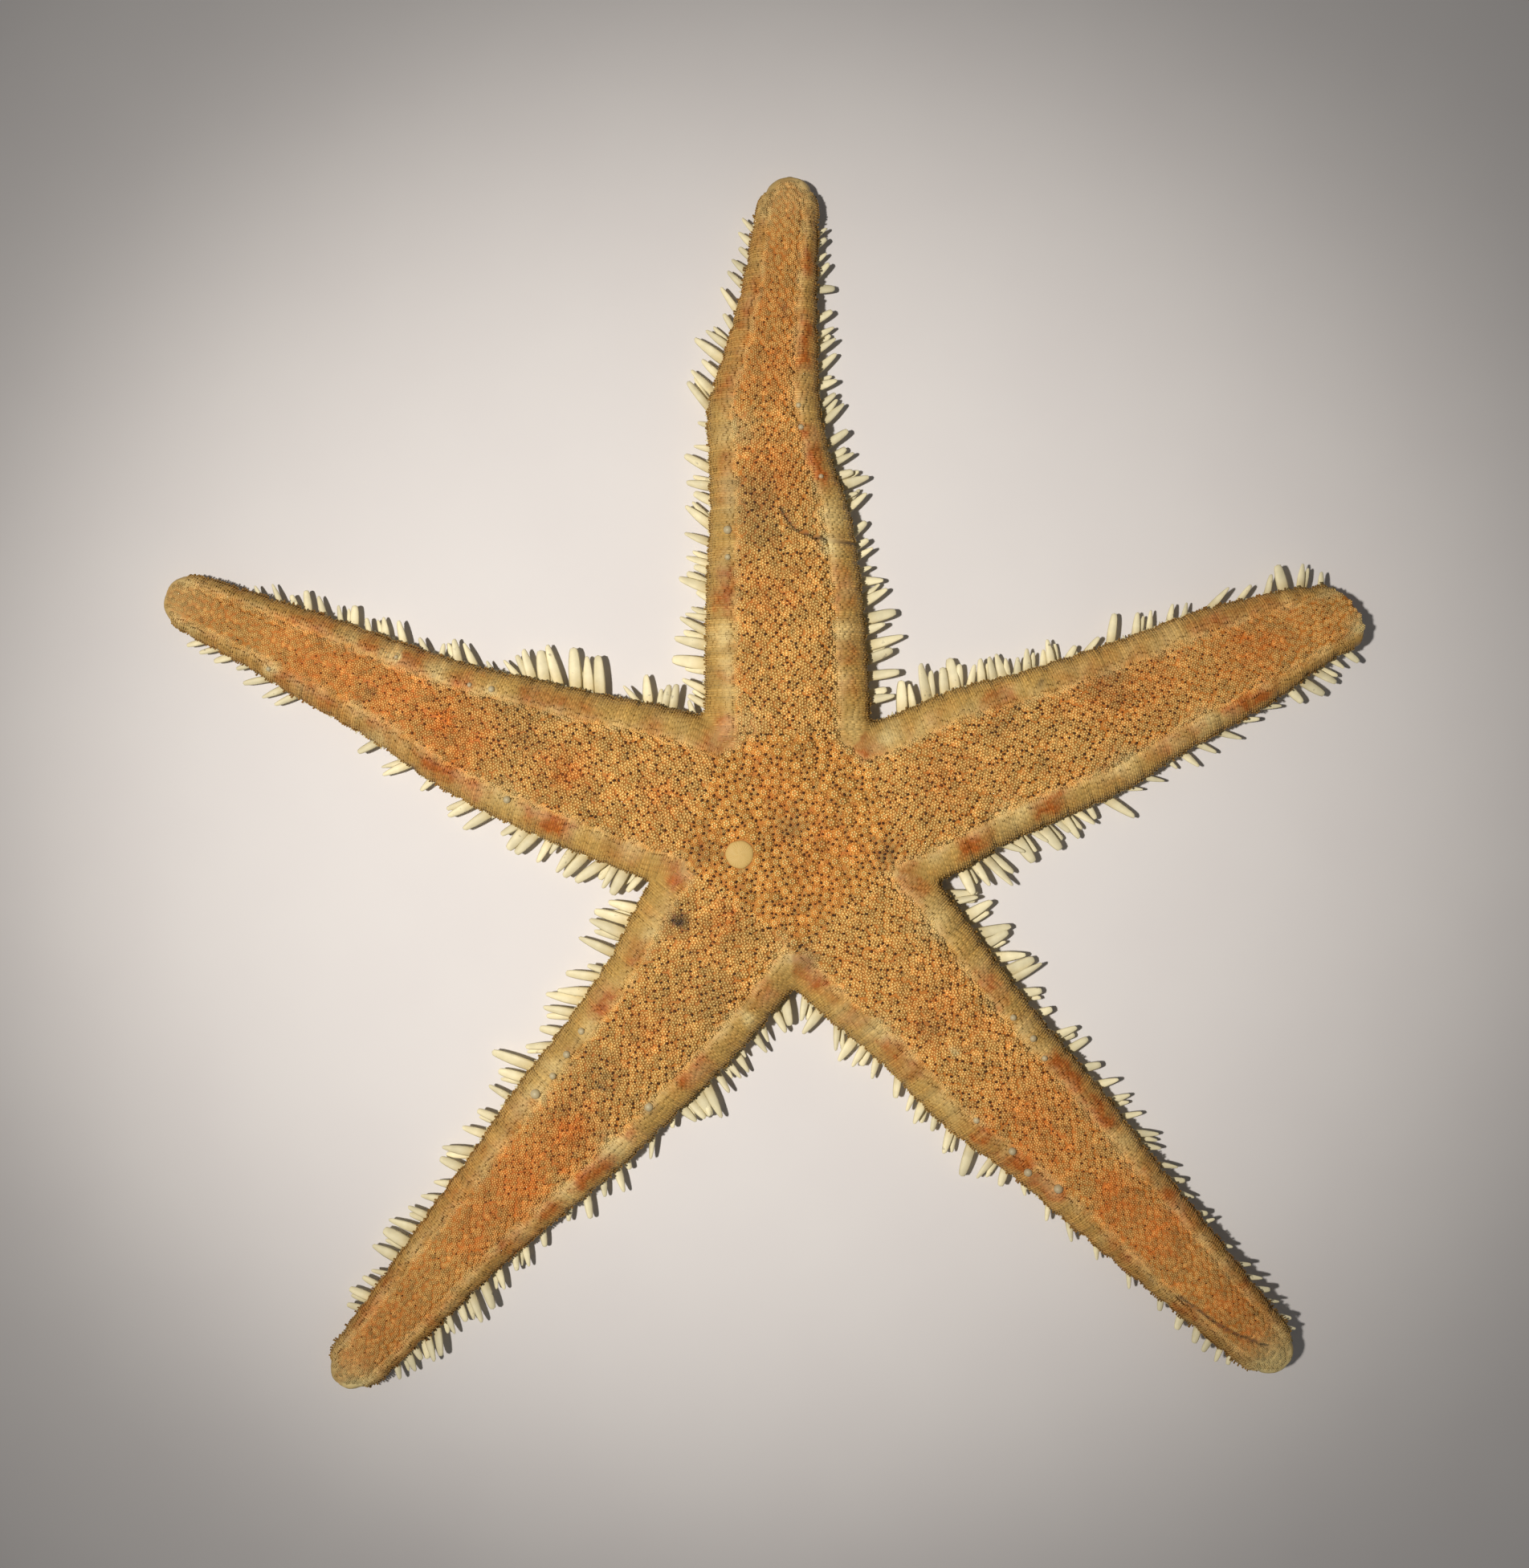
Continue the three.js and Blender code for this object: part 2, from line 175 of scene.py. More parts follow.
def ripple(x: Array, y: Array, length: float, seed: float) -> Array:
    """A soft irregular wave between about -1 and 1, made of five crossed sines.

    Args:
        x: abscissae.
        y: ordinates.
        length: the rough wavelength.
        seed: shifts the pattern.

    Returns:
        The wave's height at each point.
    """
    total = np.zeros(np.broadcast(x, y).shape)
    for k in range(5):
        turn = seed + 2.4 * k
        pace = 2 * math.pi / (length * (0.7 + 0.17 * k))
        total += np.sin(pace * (np.cos(turn) * x + np.sin(turn) * y) + 7.1 * turn)
    return total / 3.2


def about_disc(radius: Array, angle: Array) -> tuple[Array, Array]:
    """The x and y of places at a radius and an angle from the disc's middle."""
    return DISC_CENTRE[0] + radius * np.cos(angle), DISC_CENTRE[1] + radius * np.sin(angle)


def same(vector: tuple[float, float, float], count: int) -> Array:
    """One vector repeated, as an array of (count, 3)."""
    return np.tile(vector, (count, 1))


def scatter(random: Rng, middle: Array, spread: float, count: int) -> Array:
    """Shades scattered about a middle one, kept from 0 to 1."""
    return np.clip(random.normal(middle, spread, count), 0, 1)


@dataclass(frozen=True)
class Arm:
    """One arm of the star, with its combs of spines and its markings.

    A comb's spine is (s of its root, reach beyond the edge, lean towards the end in degrees).
    A warm stretch of the edge plates is (from s, to s, strength), and a warm patch on the back is
    (s, t, radius, strength). Pale and dark spots are (s, t, radius, strength) too.
    """

    name: str
    heading: float
    length: float
    lift: float
    course: tuple
    left: tuple
    right: tuple
    warm_left: tuple = ()
    warm_right: tuple = ()
    patches: tuple = ()
    pale: tuple = ()
    dark: tuple = ()
    beads: tuple = ()
    crack: tuple = ()
    broken: bool = False

    def to_star(self, s: Array, t: Array) -> tuple[Array, Array]:
        """The star's x and y of a place on the arm.

        Args:
            s: distance out along the arm.
            t: offset to the left of the arm's heading.

        Returns:
            x and y in the star's frame.
        """
        turn = math.radians(self.heading)
        x = DISC_CENTRE[0] + s * math.cos(turn) - t * math.sin(turn)
        y = DISC_CENTRE[1] + s * math.sin(turn) + t * math.cos(turn)
        return x, y

    def to_arm(self, x: Array, y: Array) -> tuple[Array, Array]:
        """The arm's s and t of a place on the star.

        Args:
            x: the places' x in the star's frame.
            y: their y.

        Returns:
            s and t on the arm.
        """
        turn = math.radians(self.heading)
        dx, dy = x - DISC_CENTRE[0], y - DISC_CENTRE[1]
        return dx * math.cos(turn) + dy * math.sin(turn), dy * math.cos(turn) - dx * math.sin(turn)

    def turned(self, along: Array, left: Array, up: Array) -> Array:
        """A direction given along, left of and above the arm, as star vectors.

        Args:
            along: how far along the arm.
            left: how far to its left.
            up: how far up.

        Returns:
            (n, 3) the vectors.
        """
        turn = math.radians(self.heading)
        x = along * math.cos(turn) - left * math.sin(turn)
        y = along * math.sin(turn) + left * math.cos(turn)
        return np.stack(np.broadcast_arrays(x, y, up), axis=-1)

    def midline(self, s: Array) -> Array:
        """The offset of the arm's middle at s."""
        return smooth_line(s, [k[0] for k in self.course], [k[1] for k in self.course])

    def half_width(self, s: Array) -> Array:
        """Half the arm's full width at s, before it closes at its end."""
        return smooth_line(s, [k[0] for k in self.course], [k[2] for k in self.course])

    def closing(self, s: Array) -> Array:
        """How much of its section the arm has at s: it closes in a round end unless broken."""
        into = np.clip((np.asarray(s, float) - (self.length - ROUND_END)) / ROUND_END, 0.0, 1.0)
        return np.where(self.broken, 1.0, np.sqrt(1.0 - into**2))

    def worn_to(self, t: Array, margin: float) -> Array:
        """The s where a broken arm's end is worn back to at t, less a margin; else its length."""
        return self.length - (margin + 0.06 * (t + 1) ** 2) * self.broken

    def outward(self, count: int) -> Array:
        """The arm's own direction, repeated."""
        return self.turned(np.ones(count), 0.0, 0.0)

    def lift_at(self, s: Array) -> Array:
        """How far the arm stands off the surface at s."""
        return self.lift * smooth(LIFT_START, self.length, s) ** 1.5

    def band(self, s: Array) -> Array:
        """The width of the edge plates seen from above at s."""
        return np.interp(s, *BAND)

    def plate(self, s: Array) -> Array:
        """The number of the edge plate at s, as a rising fraction: plates shorten outwards."""
        return PLATE_GROWTH / PLATE_PITCH * np.log1p(np.asarray(s, float) / PLATE_GROWTH)


BACK = Arm(
    "back", 90.0, 89.5, 0.5,
    course=((-6, 0.4, 11), (22, 0.8, 11.2), (35, 1.2, 10.5), (44, 1.8, 9.5), (50, 2.9, 8.5),
            (57, 3.8, 7.8), (66, 2.7, 6.3), (75, 1.6, 5.1), (84, 0.7, 4.4), (90, 0.2, 4)),
    left=((16.8, 2.3, 30), (18.8, 3.1, 25), (21.5, 2.7, 5), (22.4, 4.5, 8), (25, 4.2, 12),
          (26.9, 3.5, 28), (28.7, 2.8, 12), (31.6, 1.3, 30), (32.9, 3.8, 18), (35.2, 1.8, 20),
          (36.3, 2.9, 15), (39.2, 3.3, 20), (41.6, 3.3, 38), (44.9, 2.2, 25), (46.9, 3.2, 8),
          (49.3, 3.4, 28), (52, 2, 10), (55.3, 1.3, 12), (57.8, 2.9, 50), (60, 2.9, 45), (62.2, 2.2, 42),
          (64.3, 3.9, 36), (66.2, 2.9, 36), (68.9, 1.2, 56), (71.2, 2.2, 54), (74.6, 2.1, 42),
          (76.6, 1.9, 40), (78.6, 1.3, 40), (80.4, 1.7, 40), (82.2, 1.5, 45)),
    right=((17.4, 3.6, 10), (20.7, 4.4, 8), (22.9, 3.6, 22), (24.8, 5.2, 16), (26.9, 2.8, 20),
           (28.5, 4.4, 14), (30.8, 3.4, 30), (33.8, 3.2, 2), (35.2, 1.7, 20), (37.1, 2.2, 30),
           (38.5, 1.8, 30), (40.4, 1.8, 42), (43.7, 2.5, 42), (45.4, 1.8, 20), (46.9, 4, 18),
           (48.2, 2.3, 15), (50, 3, 26), (52.6, 2.9, 34), (55.6, 3, 42), (57.9, 2.2, 38), (60.6, 2.6, 18),
           (63, 2.5, 42), (65.6, 2.5, 32), (67.6, 2.3, 28), (69.8, 2.1, 30), (74.1, 2.5, 2),
           (75.9, 1.7, 45), (78.1, 1.3, 35), (80.1, 1.2, 35), (81.6, 1.2, 35)),
    warm_left=((9, 15, 1.2), (19, 22, 0.5), (28.5, 35.5, 1.1), (44, 51, 0.5), (57, 62, 0.6), (68, 73, 0.5)),
    warm_right=((18, 20, 0.5), (22, 25.5, 0.7), (29, 36, 0.6), (46, 55, 1.1), (58, 60, 0.4),
                (62, 70, 0.7), (75, 79, 0.8), (82, 84, 0.6)),
    patches=((5, 3, 4, 0.4), (31, 3.5, 3, 0.5), (49, 2.4, 4, 0.7), (62, 4, 5, 0.6), (71, 3, 4, 0.4)),
    pale=((26, 9.6, 1.6, 0.8), (22, 8.8, 1.2, 0.6), (43.5, 8.2, 1.5, 0.5), (54, 7.5, 2.2, 0.5),
          (38.2, -4.6, 1.2, 1.0), (26.5, -7.2, 1.5, 0.6), (42.5, -5, 2.2, 0.5), (14, 6, 2, 0.4)),
    dark=((41, 4.5, 4, 0.35), (46, 5, 3, 0.3), (70.5, 1, 0.6, 0.7), (36, 9.4, 1.8, 0.3)),
    beads=((57.3, -0.9, 0.55), (54.3, -1.2, 0.6), (47.6, -3.9, 0.5), (36.6, 8.7, 0.6), (40.3, 8.7, 0.85)),
    crack=((43.2, 1.6), (41.8, 0.8), (40.3, -0.3), (39.3, -2.9), (38.9, -5), (38.5, -9.5)),
)
RIGHT = Arm(
    "right", 19.9, 83.1, 2.2,
    course=((-6, -1.6, 11.5), (20, -1.8, 11.7), (27, -0.9, 11.2), (35, -1, 10.5), (46, -0.8, 9.8),
            (53, 0, 8.9), (62, 0.8, 8.2), (70, 1.2, 7), (77.6, 1.8, 5.7), (81, 1.7, 5), (84, 1.6, 4.8)),
    left=((19.7, 4, 18), (21.3, 3.1, 10), (23.5, 5, 8), (26.1, 3.3, 15), (27.6, 4.2, 10), (29.8, 2.4, 30),
          (31.4, 3.1, 14), (33.1, 3.1, 6), (34.4, 3.3, 3), (36.4, 2, 20), (37.8, 2.8, 18), (40.2, 2, 20),
          (41.3, 3.2, 8), (43.9, 1.1, 50), (46.6, 1.2, 60), (49.9, 3.6, 28), (53.6, 2.7, 24),
          (55.6, 2.3, 24), (58.5, 2, 30), (60.7, 1.5, 30), (64.4, 1.7, 62), (68.4, 1.4, 58),
          (72.3, 2.2, 30), (74.5, 3.3, 4), (76.9, 2.5, 26), (79.6, 1.2, 20)),
    right=((20, 3.8, 5), (21.9, 3.8, 14), (23.5, 5.2, 24), (26.6, 2, 50), (28.5, 4, 16), (30.9, 2.2, 36),
           (32.3, 3.9, 20), (34.5, 2.2, 30), (35.6, 3.5, 18), (37.5, 2.5, 36), (39.3, 2, 12),
           (42, 3.7, 38), (45.2, 0.9, 66), (48, 1.4, 60), (51.9, 1.4, 30), (54, 2.6, 30), (56.4, 2, 46),
           (59.7, 1.9, 54), (63, 0.7, 74), (66.5, 0.7, 74), (70.7, 2.2, 24), (72.7, 2.7, 38),
           (74.9, 2.3, 42), (77.6, 1.4, 35), (79.6, 1.7, 32)),
    warm_left=((9, 15, 1.0), (22, 24, 0.3), (30, 35, 0.8), (40, 42, 0.3), (60, 66, 0.7), (70, 73, 0.3)),
    warm_right=((11, 14, 0.8), (20, 25.5, 1.0), (31, 36, 1.2), (41, 46, 0.3), (48, 54, 0.4),
                (54.5, 57, 0.9), (60, 68, 1.0)),
    patches=((4, -4, 4, 0.5), (22, 0, 3, 0.5), (45, 3, 4, 0.5), (52, 2, 6, 0.4), (67, 3, 5, 0.6)),
    pale=((16.8, 7.6, 1.4, 0.7), (28, -8.5, 2.5, 0.4), (45, -7, 2, 0.5), (57.5, -5.4, 1.8, 0.7),
          (57, 7, 2.5, 0.3), (81.9, -0.4, 1.4, 1.0)),
    dark=((47, 4, 2.5, 0.35), (32, 4, 2.5, 0.25), (10.5, -7.5, 2, 0.45), (38.4, 7, 0.4, 0.9)),
    broken=True,
)
FRONT_RIGHT = Arm(
    "front_right", -48.0, 99.6, 4.0,
    course=((-6, -2, 11.6), (22, -2.2, 11.9), (31, -2, 10.7), (44, -2.1, 9.9), (57, -1, 8.4),
            (66, -0.8, 7.4), (79, -0.2, 6), (88, 0.2, 5), (100, 0.8, 3.8)),
    left=((21.2, 3.2, 40), (22.5, 3, 30), (25.2, 4.3, 10), (28, 4.3, 28), (29.8, 3.7, 12), (32, 3.6, 36),
          (34.6, 4.3, 16), (35.9, 4.8, 12), (38.2, 2.4, 34), (41.8, 2, 22), (45.7, 3, 18),
          (48.4, 3.2, 10), (51.6, 2.2, 28), (54.5, 2.7, 26), (57.4, 2.6, 24), (60.1, 2.4, 30),
          (62.9, 2.4, 44), (65, 1.5, 50), (68.2, 1.7, 50), (71, 1.4, 42), (73.3, 0.9, 58), (76.6, 1, 40),
          (78.1, 1.3, 20), (82, 0.8, 50), (85.2, 1.3, 40), (87.4, 1.3, 45), (89.5, 1.2, 40),
          (91.5, 1.1, 45), (94.2, 1, 45), (96, 0.7, 45)),
    right=((18.8, 2.5, 38), (21.5, 3.8, 10), (24.6, 2.4, 44), (27.5, 3.6, 12), (29.2, 3, 16),
           (31.6, 2.4, 34), (35.6, 2, 40), (38.6, 2.1, 26), (40.4, 2.6, 24), (43, 1.6, 34),
           (45.7, 2.8, 32), (49.2, 3.8, 30), (52.5, 3.2, 8), (54.7, 2, 30), (58, 0.9, 55),
           (62.3, 1.6, 40), (66, 1.4, 55), (70.8, 1.2, 50), (76.3, 1.4, 50), (81.8, 1.2, 40),
           (85.2, 1.7, 28), (88, 1.6, 32), (90.1, 1.8, 18), (91.9, 1.7, 28), (93.5, 1, 30)),
    warm_left=((14.5, 19, 1.0), (31, 37, 0.9), (46, 53, 1.0), (53.5, 60, 1.0), (66, 70, 0.4),
               (70, 75, 0.6), (82, 94, 0.35)),
    warm_right=((12, 19, 1.1), (20, 22, 0.4), (23, 26, 0.9), (29, 37, 0.9), (47, 50, 0.8), (52, 56, 0.9),
                (57, 62, 1.2), (72, 75, 0.6), (82, 88, 0.6)),
    patches=((5, -3, 4, 0.5), (31, -1.5, 5, 0.5), (52, -2.5, 8, 0.7), (66, -0.5, 3, 0.8), (73, 0, 6, 0.6),
             (90, 1, 6, 0.4)),
    pale=((28, -9.6, 2, 0.5), (22, 5.5, 2.4, 0.5), (14, 7, 2, 0.4), (62, 5, 2, 0.4), (98, 0, 3, 1.0),
          (37.1, -4.1, 0.6, 1.2)),
    dark=((11, 7, 2, 0.45), (33, -5, 2, 0.3), (14, -10, 2.2, 0.4)),
    beads=((39.1, 5, 0.65), (43, 5.1, 0.7), (46.1, 4.5, 0.6), (46.2, -8, 0.7), (52.6, -7.2, 0.8),
           (56.2, -7.5, 0.85), (60.6, -6, 0.95)),
    crack=((82.4, -3.6), (85, -2.9), (88, -2.3), (91, -1.2), (93.5, 0), (95.3, 1)),
)
FRONT_LEFT = Arm(
    "front_left", -128.4, 98.8, 1.0,
    course=((-6, 1.4, 11.8), (21, 1.8, 12), (28, 2.4, 11.1), (40, 2.2, 9.9), (53, 1.4, 8.8),
            (62, 0.8, 7.5), (70, 0.1, 6.5), (84, -0.6, 5.1), (99, -1.3, 3.8)),
    left=((19.1, 3, 40), (21.3, 3.2, 22), (23.9, 2.2, 30), (25.6, 3, 16), (28.3, 1.3, 20), (29.2, 3, 18),
          (30.9, 2.8, 10), (32.9, 3, 18), (35.1, 4.6, 26), (36.7, 3.5, 22), (38.2, 3.3, 10),
          (39.7, 2.8, 4), (41.5, 1, 50), (45.2, 1.8, 56), (50.1, 1.2, 30), (51.8, 2.8, 34),
          (54.3, 1.6, 44), (57.2, 2.5, 42), (60.2, 1, 56), (64.9, 1.7, 44), (68, 2.3, 40),
          (69.7, 1.7, 44), (72.8, 2.5, 34), (75.4, 3.4, 30), (77.8, 3.7, 28), (80, 2.2, 28),
          (82.2, 2.3, 28), (84.2, 3, 42), (86, 3, 34), (88.4, 1.8, 20), (89.7, 2.3, 28), (91.7, 1.6, 36)),
    right=((22.3, 3.4, 24), (24.1, 4.6, 22), (25.9, 4.8, 16), (28.9, 5, 14), (31.6, 2, 20),
           (32.9, 3.8, 30), (35.3, 3.4, 34), (36.7, 4.4, 28), (38.8, 3.6, 28), (42.1, 2.4, 26),
           (44.4, 2.4, 40), (48.1, 5.6, 18), (50.1, 3.3, 22), (53.4, 3.2, 8), (56.7, 2.6, 14),
           (59.4, 3, 20), (62.4, 3.7, 28), (65.1, 3.1, 12), (67.9, 1.8, 30), (70.4, 2.1, 28),
           (73.2, 2.7, 12), (75.6, 3.8, 18), (77.8, 3.6, 8), (80.3, 3.6, 12), (82.9, 1.7, 24),
           (84.9, 2.2, 8), (86.9, 2.7, 14), (88.8, 1.7, 20)),
    warm_left=((10, 14, 0.9), (18, 22, 0.8), (31, 37, 1.1), (45, 48, 0.8), (50, 57, 1.2), (59.5, 63, 0.7),
               (66, 70, 0.4), (78, 84, 0.3)),
    warm_right=((10, 17, 1.0), (24, 28, 0.6), (32, 37, 1.1), (50, 56, 0.6), (80, 92, 0.3)),
    patches=((17, 1, 3, 0.5), (34, 2, 3, 0.4), (51.5, 2.4, 4, 1.0), (59, 0, 5, 0.6), (67, 1, 6, 0.7),
             (90, 0, 8, 0.3)),
    pale=((24, 11.4, 1, 0.9), (49, 8, 2, 0.7), (58, 7, 1.5, 0.5), (23, -5.8, 1.6, 0.5),
          (46, -5.4, 1.5, 0.6), (49.9, -4.8, 1.6, 0.8), (97, 0, 2, 0.5), (13, 10, 2.4, 0.4)),
    dark=((19.4, -4.2, 1.5, 1.4), (43.2, 1.6, 0.8, 0.8), (12, -6.8, 0.45, 1.6), (21.6, -0.3, 0.5, 0.8),
          (26, 5, 5, 0.2), (42, 8.3, 1.4, 0.5), (43, 0, 6, 0.2)),
    beads=((39.3, -5.2, 0.7), (43, -4.8, 0.75), (46.5, -4.5, 0.7), (49.9, -4.8, 1.0), (41.7, 8.3, 0.9)),
)
LEFT = Arm(
    "left", 159.3, 92.2, 0.5,
    course=((-6, 1.8, 11.2), (22, 2.2, 11.6), (31, 2.9, 10.7), (40, 3.2, 9.8), (48, 3.2, 8.6),
            (57, 2.3, 7.2), (70, 1.4, 6), (79, 0.8, 4.9), (92, 0.3, 3.9)),
    left=((17.1, 2.6, 20), (19.3, 3.7, 8), (20.8, 3.3, 8), (22.6, 3.8, 34), (25.2, 3.8, 24),
          (27, 3.6, 16), (29.4, 1.6, 14), (30.5, 3.4, 8), (32.7, 3.4, 24), (34.2, 3.3, 20),
          (35.6, 1.8, 38), (39.7, 3.3, 36), (42.4, 2.7, 40), (48.7, 1.8, 24), (52.5, 2.6, 46),
          (57.6, 2.2, 40), (70.4, 2.2, 44), (72.3, 2.2, 46), (74.8, 1.8, 58), (78.1, 0.9, 50),
          (80.7, 1.4, 52), (82.9, 1.3, 54), (85.1, 1.2, 54)),
    right=((18.2, 1.5, 40), (21, 3.3, 12), (22.2, 3, 8), (24.5, 3.5, 26), (26.1, 1.3, 62),
           (31.1, 4.9, 24), (32.7, 4.5, 24), (34.5, 5.2, 24), (36.9, 4.5, 38), (38.9, 3.8, 28),
           (40.6, 3.3, 38), (42.8, 1.3, 62), (46.3, 0.9, 50), (48.7, 2.4, 46), (51, 2.6, 32),
           (53.4, 1.7, 10), (55.8, 1.3, 46), (58.9, 2.6, 34), (61.6, 2.4, 28), (64, 1.5, 30),
           (66.2, 2.6, 18), (68.2, 1.8, 30), (70.6, 2.1, 38), (72.8, 2.4, 28), (74.8, 1.2, 40),
           (77, 1.8, 44), (80, 0.9, 45)),
    warm_left=((11, 15, 0.6), (18, 23, 0.6), (27, 35, 1.1), (41, 51, 1.1), (55, 60, 0.5), (64, 75, 0.5)),
    warm_right=((10, 16, 1.1), (21, 24, 0.5), (30, 41, 0.6), (47, 50, 1.0), (54, 58, 0.8), (60, 64, 0.4),
                (68, 73, 0.6)),
    patches=((17, 3, 2.5, 0.5), (31.5, 3.5, 3, 0.8), (47, 4.5, 5, 0.9), (56, 2, 7, 0.6), (68, 2, 6, 0.5)),
    pale=((38, 9.5, 2, 0.4), (57, 9, 1.6, 0.6), (74.2, 5, 0.9, 0.8), (44.6, -3.1, 1, 0.8),
          (58.4, -2.7, 0.7, 0.9), (52.5, -3, 1.6, 0.6), (59, -3.2, 1.4, 0.5), (65, -3, 1.4, 0.4)),
    dark=((51.2, 10.9, 0.5, 1.2), (60.5, 3, 1.2, 0.4), (38, 1, 6, 0.2), (10, 8, 2.5, 0.3)),
    beads=((74.3, 5, 0.5), (58.4, -2.6, 0.4), (47.7, -2.6, 0.5), (44.7, -3.1, 0.65), (37.4, 10.1, 0.75)),
)
ARMS = (BACK, RIGHT, FRONT_RIGHT, FRONT_LEFT, LEFT)


@dataclass(frozen=True)
class Ground:
    """Where places on the star lie: arrays with one entry for each place."""

    depth: Array
    arm: Array
    s: Array
    t: Array
    band: Array
    radius: Array


@dataclass
class StarForm:
    """The form of the whole body: its outline, its height and its markings."""

    arms: tuple[Arm, ...] = ARMS
    # Painted shade along the crack: its strength and width.
    crack_shade: tuple[float, float] = (1.1, 0.22)
    tip_pale: float = 0.4
    seam_pale: float = 0.4
    plate_pale: float = 0.35
    plate_warm: float = 0.3
    field_warm: float = 0.2
    # A dark round mark at the disc's middle: its strength and width.
    middle_dark: tuple[float, float] = (0.4, 2.1)

    def crown(self, s: Array) -> Array:
        """Height of the skin's crown over the arm's underside at s, below the small relief."""
        knots, values = zip(*CROWN)
        return np.interp(np.abs(s), knots, values) - RELIEF

    def rim(self, x: Array, y: Array) -> Array:
        """How far the disc's rim lies from its middle in the direction of each point.

        Args:
            x: the places' x in the star's frame.
            y: their y.

        Returns:
            The rim's distance, one for each place.
        """
        degrees = np.degrees(np.arctan2(y - DISC_CENTRE[1], x - DISC_CENTRE[0]))
        degrees = np.where(degrees < CORNERS[0][0], degrees + 360.0, degrees)
        return np.interp(degrees, [c[0] for c in CORNERS], [c[1] for c in CORNERS])

    def ground(self, x: Array, y: Array) -> Ground:
        """Finds each place on the star: its arm, its s and t, and its depth inside the outline.

        Args:
            x: the places' x in the star's frame.
            y: their y.

        Returns:
            The ground under each place.
        """
        x, y = np.asarray(x, float), np.asarray(y, float)
        found = []
        for arm in self.arms:
            s, t = arm.to_arm(x, y)
            depth = arm.half_width(s) * arm.closing(s) - np.abs(t - arm.midline(s))
            found.append((np.where((s < -2) | (s > arm.length), -FAR, depth), s, t, arm.band(s)))
        depths, s, t, band = (np.array(values) for values in zip(*found))
        which = depths.argmax(axis=0)
        s, t, band = (np.take_along_axis(values, which[None], 0)[0] for values in (s, t, band))
        radius = np.hypot(x - DISC_CENTRE[0], y - DISC_CENTRE[1])
        depth = np.maximum(depths.max(axis=0), np.minimum(self.rim(x, y) - radius, 12.0) - 0.6)
        return Ground(depth, which, s, t, band, radius)

    def markings(self, x: Array, y: Array) -> dict[str, Array]:
        """How warm, pale and dark the star is at each place, each from 0 up.

        Args:
            x: the places' x in the star's frame.
            y: their y.

        Returns:
            The marks by name: warm, pale, dark, and edge for the plates along the outline.
        """
        g = self.ground(x, y)
        warm, pale, dark = (np.zeros(np.shape(x)) for _ in range(3))
        wander = 0.7 * ripple(x, y, 3.1, 1.0) + 0.35 * ripple(x, y, 1.3, 8.0)
        edge = 1.0 - smooth(-0.9, 0.6, g.depth - g.band + 0.45 * wander)
        share = (g.depth + 0.5 * wander) / g.band
        inner = smooth(0.05, 0.55, share)
        for number, arm in enumerate(self.arms):
            mine = g.arm == number
            s = g.s + wander
            offset = g.t - arm.midline(g.s)
            for stretches, side in ((arm.warm_left, 1), (arm.warm_right, -1)):
                sided = mine * edge * (side * offset > 0) * inner
                for low, high, strength in stretches:
                    near, far = low + 0.9 * (1 - inner), high - 0.9 * (1 - inner)
                    begun = smooth(near - 0.9, near + 1.1, s)
                    ended = smooth(far - 1.1, far + 0.9, s)
                    warm += sided * strength * begun * (1 - ended)
            for total, spots in ((warm, arm.patches), (pale, arm.pale), (dark, arm.dark)):
                for at_s, at_t, radius, strength in spots:
                    away = np.hypot(s - at_s, g.t - at_t + 0.5 * wander)
                    total += mine * strength * bump(away, radius)
            if arm.crack:
                # Painted shade darkens the skin along the crack.
                strength, width = self.crack_shade
                dark += mine * strength * bump(Skin.from_line(g.s, g.t, arm.crack), width)
            if not arm.broken:
                pale += mine * self.tip_pale * smooth(arm.length - 10.0, arm.length - 1.0, g.s)
        warm += self.plate_warm * edge * inner * np.clip(ripple(x, y, 5.0, 7.0), 0, 1)
        reach = smooth(45.0, 75.0, g.s)
        warm += self.field_warm * (reach + np.clip(ripple(x, y, 9.0, 4.0), 0, 1) * (1 - edge))
        pale += self.plate_pale * edge * np.clip(ripple(x, y, 6.0, 9.0), 0, 1) * inner
        seam = bump(g.depth - g.band + 0.3 * wander, 0.5)
        pale += self.seam_pale * seam * smooth(-0.6, 0.4, ripple(x, y, 4.3, 2.0))
        # A dark round mark at the disc's middle.
        strength, width = self.middle_dark
        dark += strength * bump(g.radius, width)
        return {"warm": warm, "pale": pale, "dark": dark, "edge": edge}


@dataclass(frozen=True)
class Template:
    """A small shape to plant many times: its points, faces and how high each point stands, which also sets
    its painted shade: lower is darker.
    """

    points: Array
    corners: Array
    sizes: Array
    relief: Array

    @staticmethod
    def of(shape: bmesh.types.BMesh, relief: Callable[[Array], Array]) -> "Template":
        """Reads a bmesh, and frees it.

        Args:
            shape: the small shape, closed, with its faces outwards.
            relief: gives how high each point stands, from 0 to 1; lower points are painted darker, as shade.

        Returns:
            The template.
        """
        bmesh.ops.recalc_face_normals(shape, faces=shape.faces)
        shape.verts.index_update()
        points = np.array([v.co[:] for v in shape.verts])
        corners = np.array([v.index for f in shape.faces for v in f.verts])
        sizes = np.array([len(f.verts) for f in shape.faces])
        shape.free()
        return Template(points, corners, sizes, relief(points))


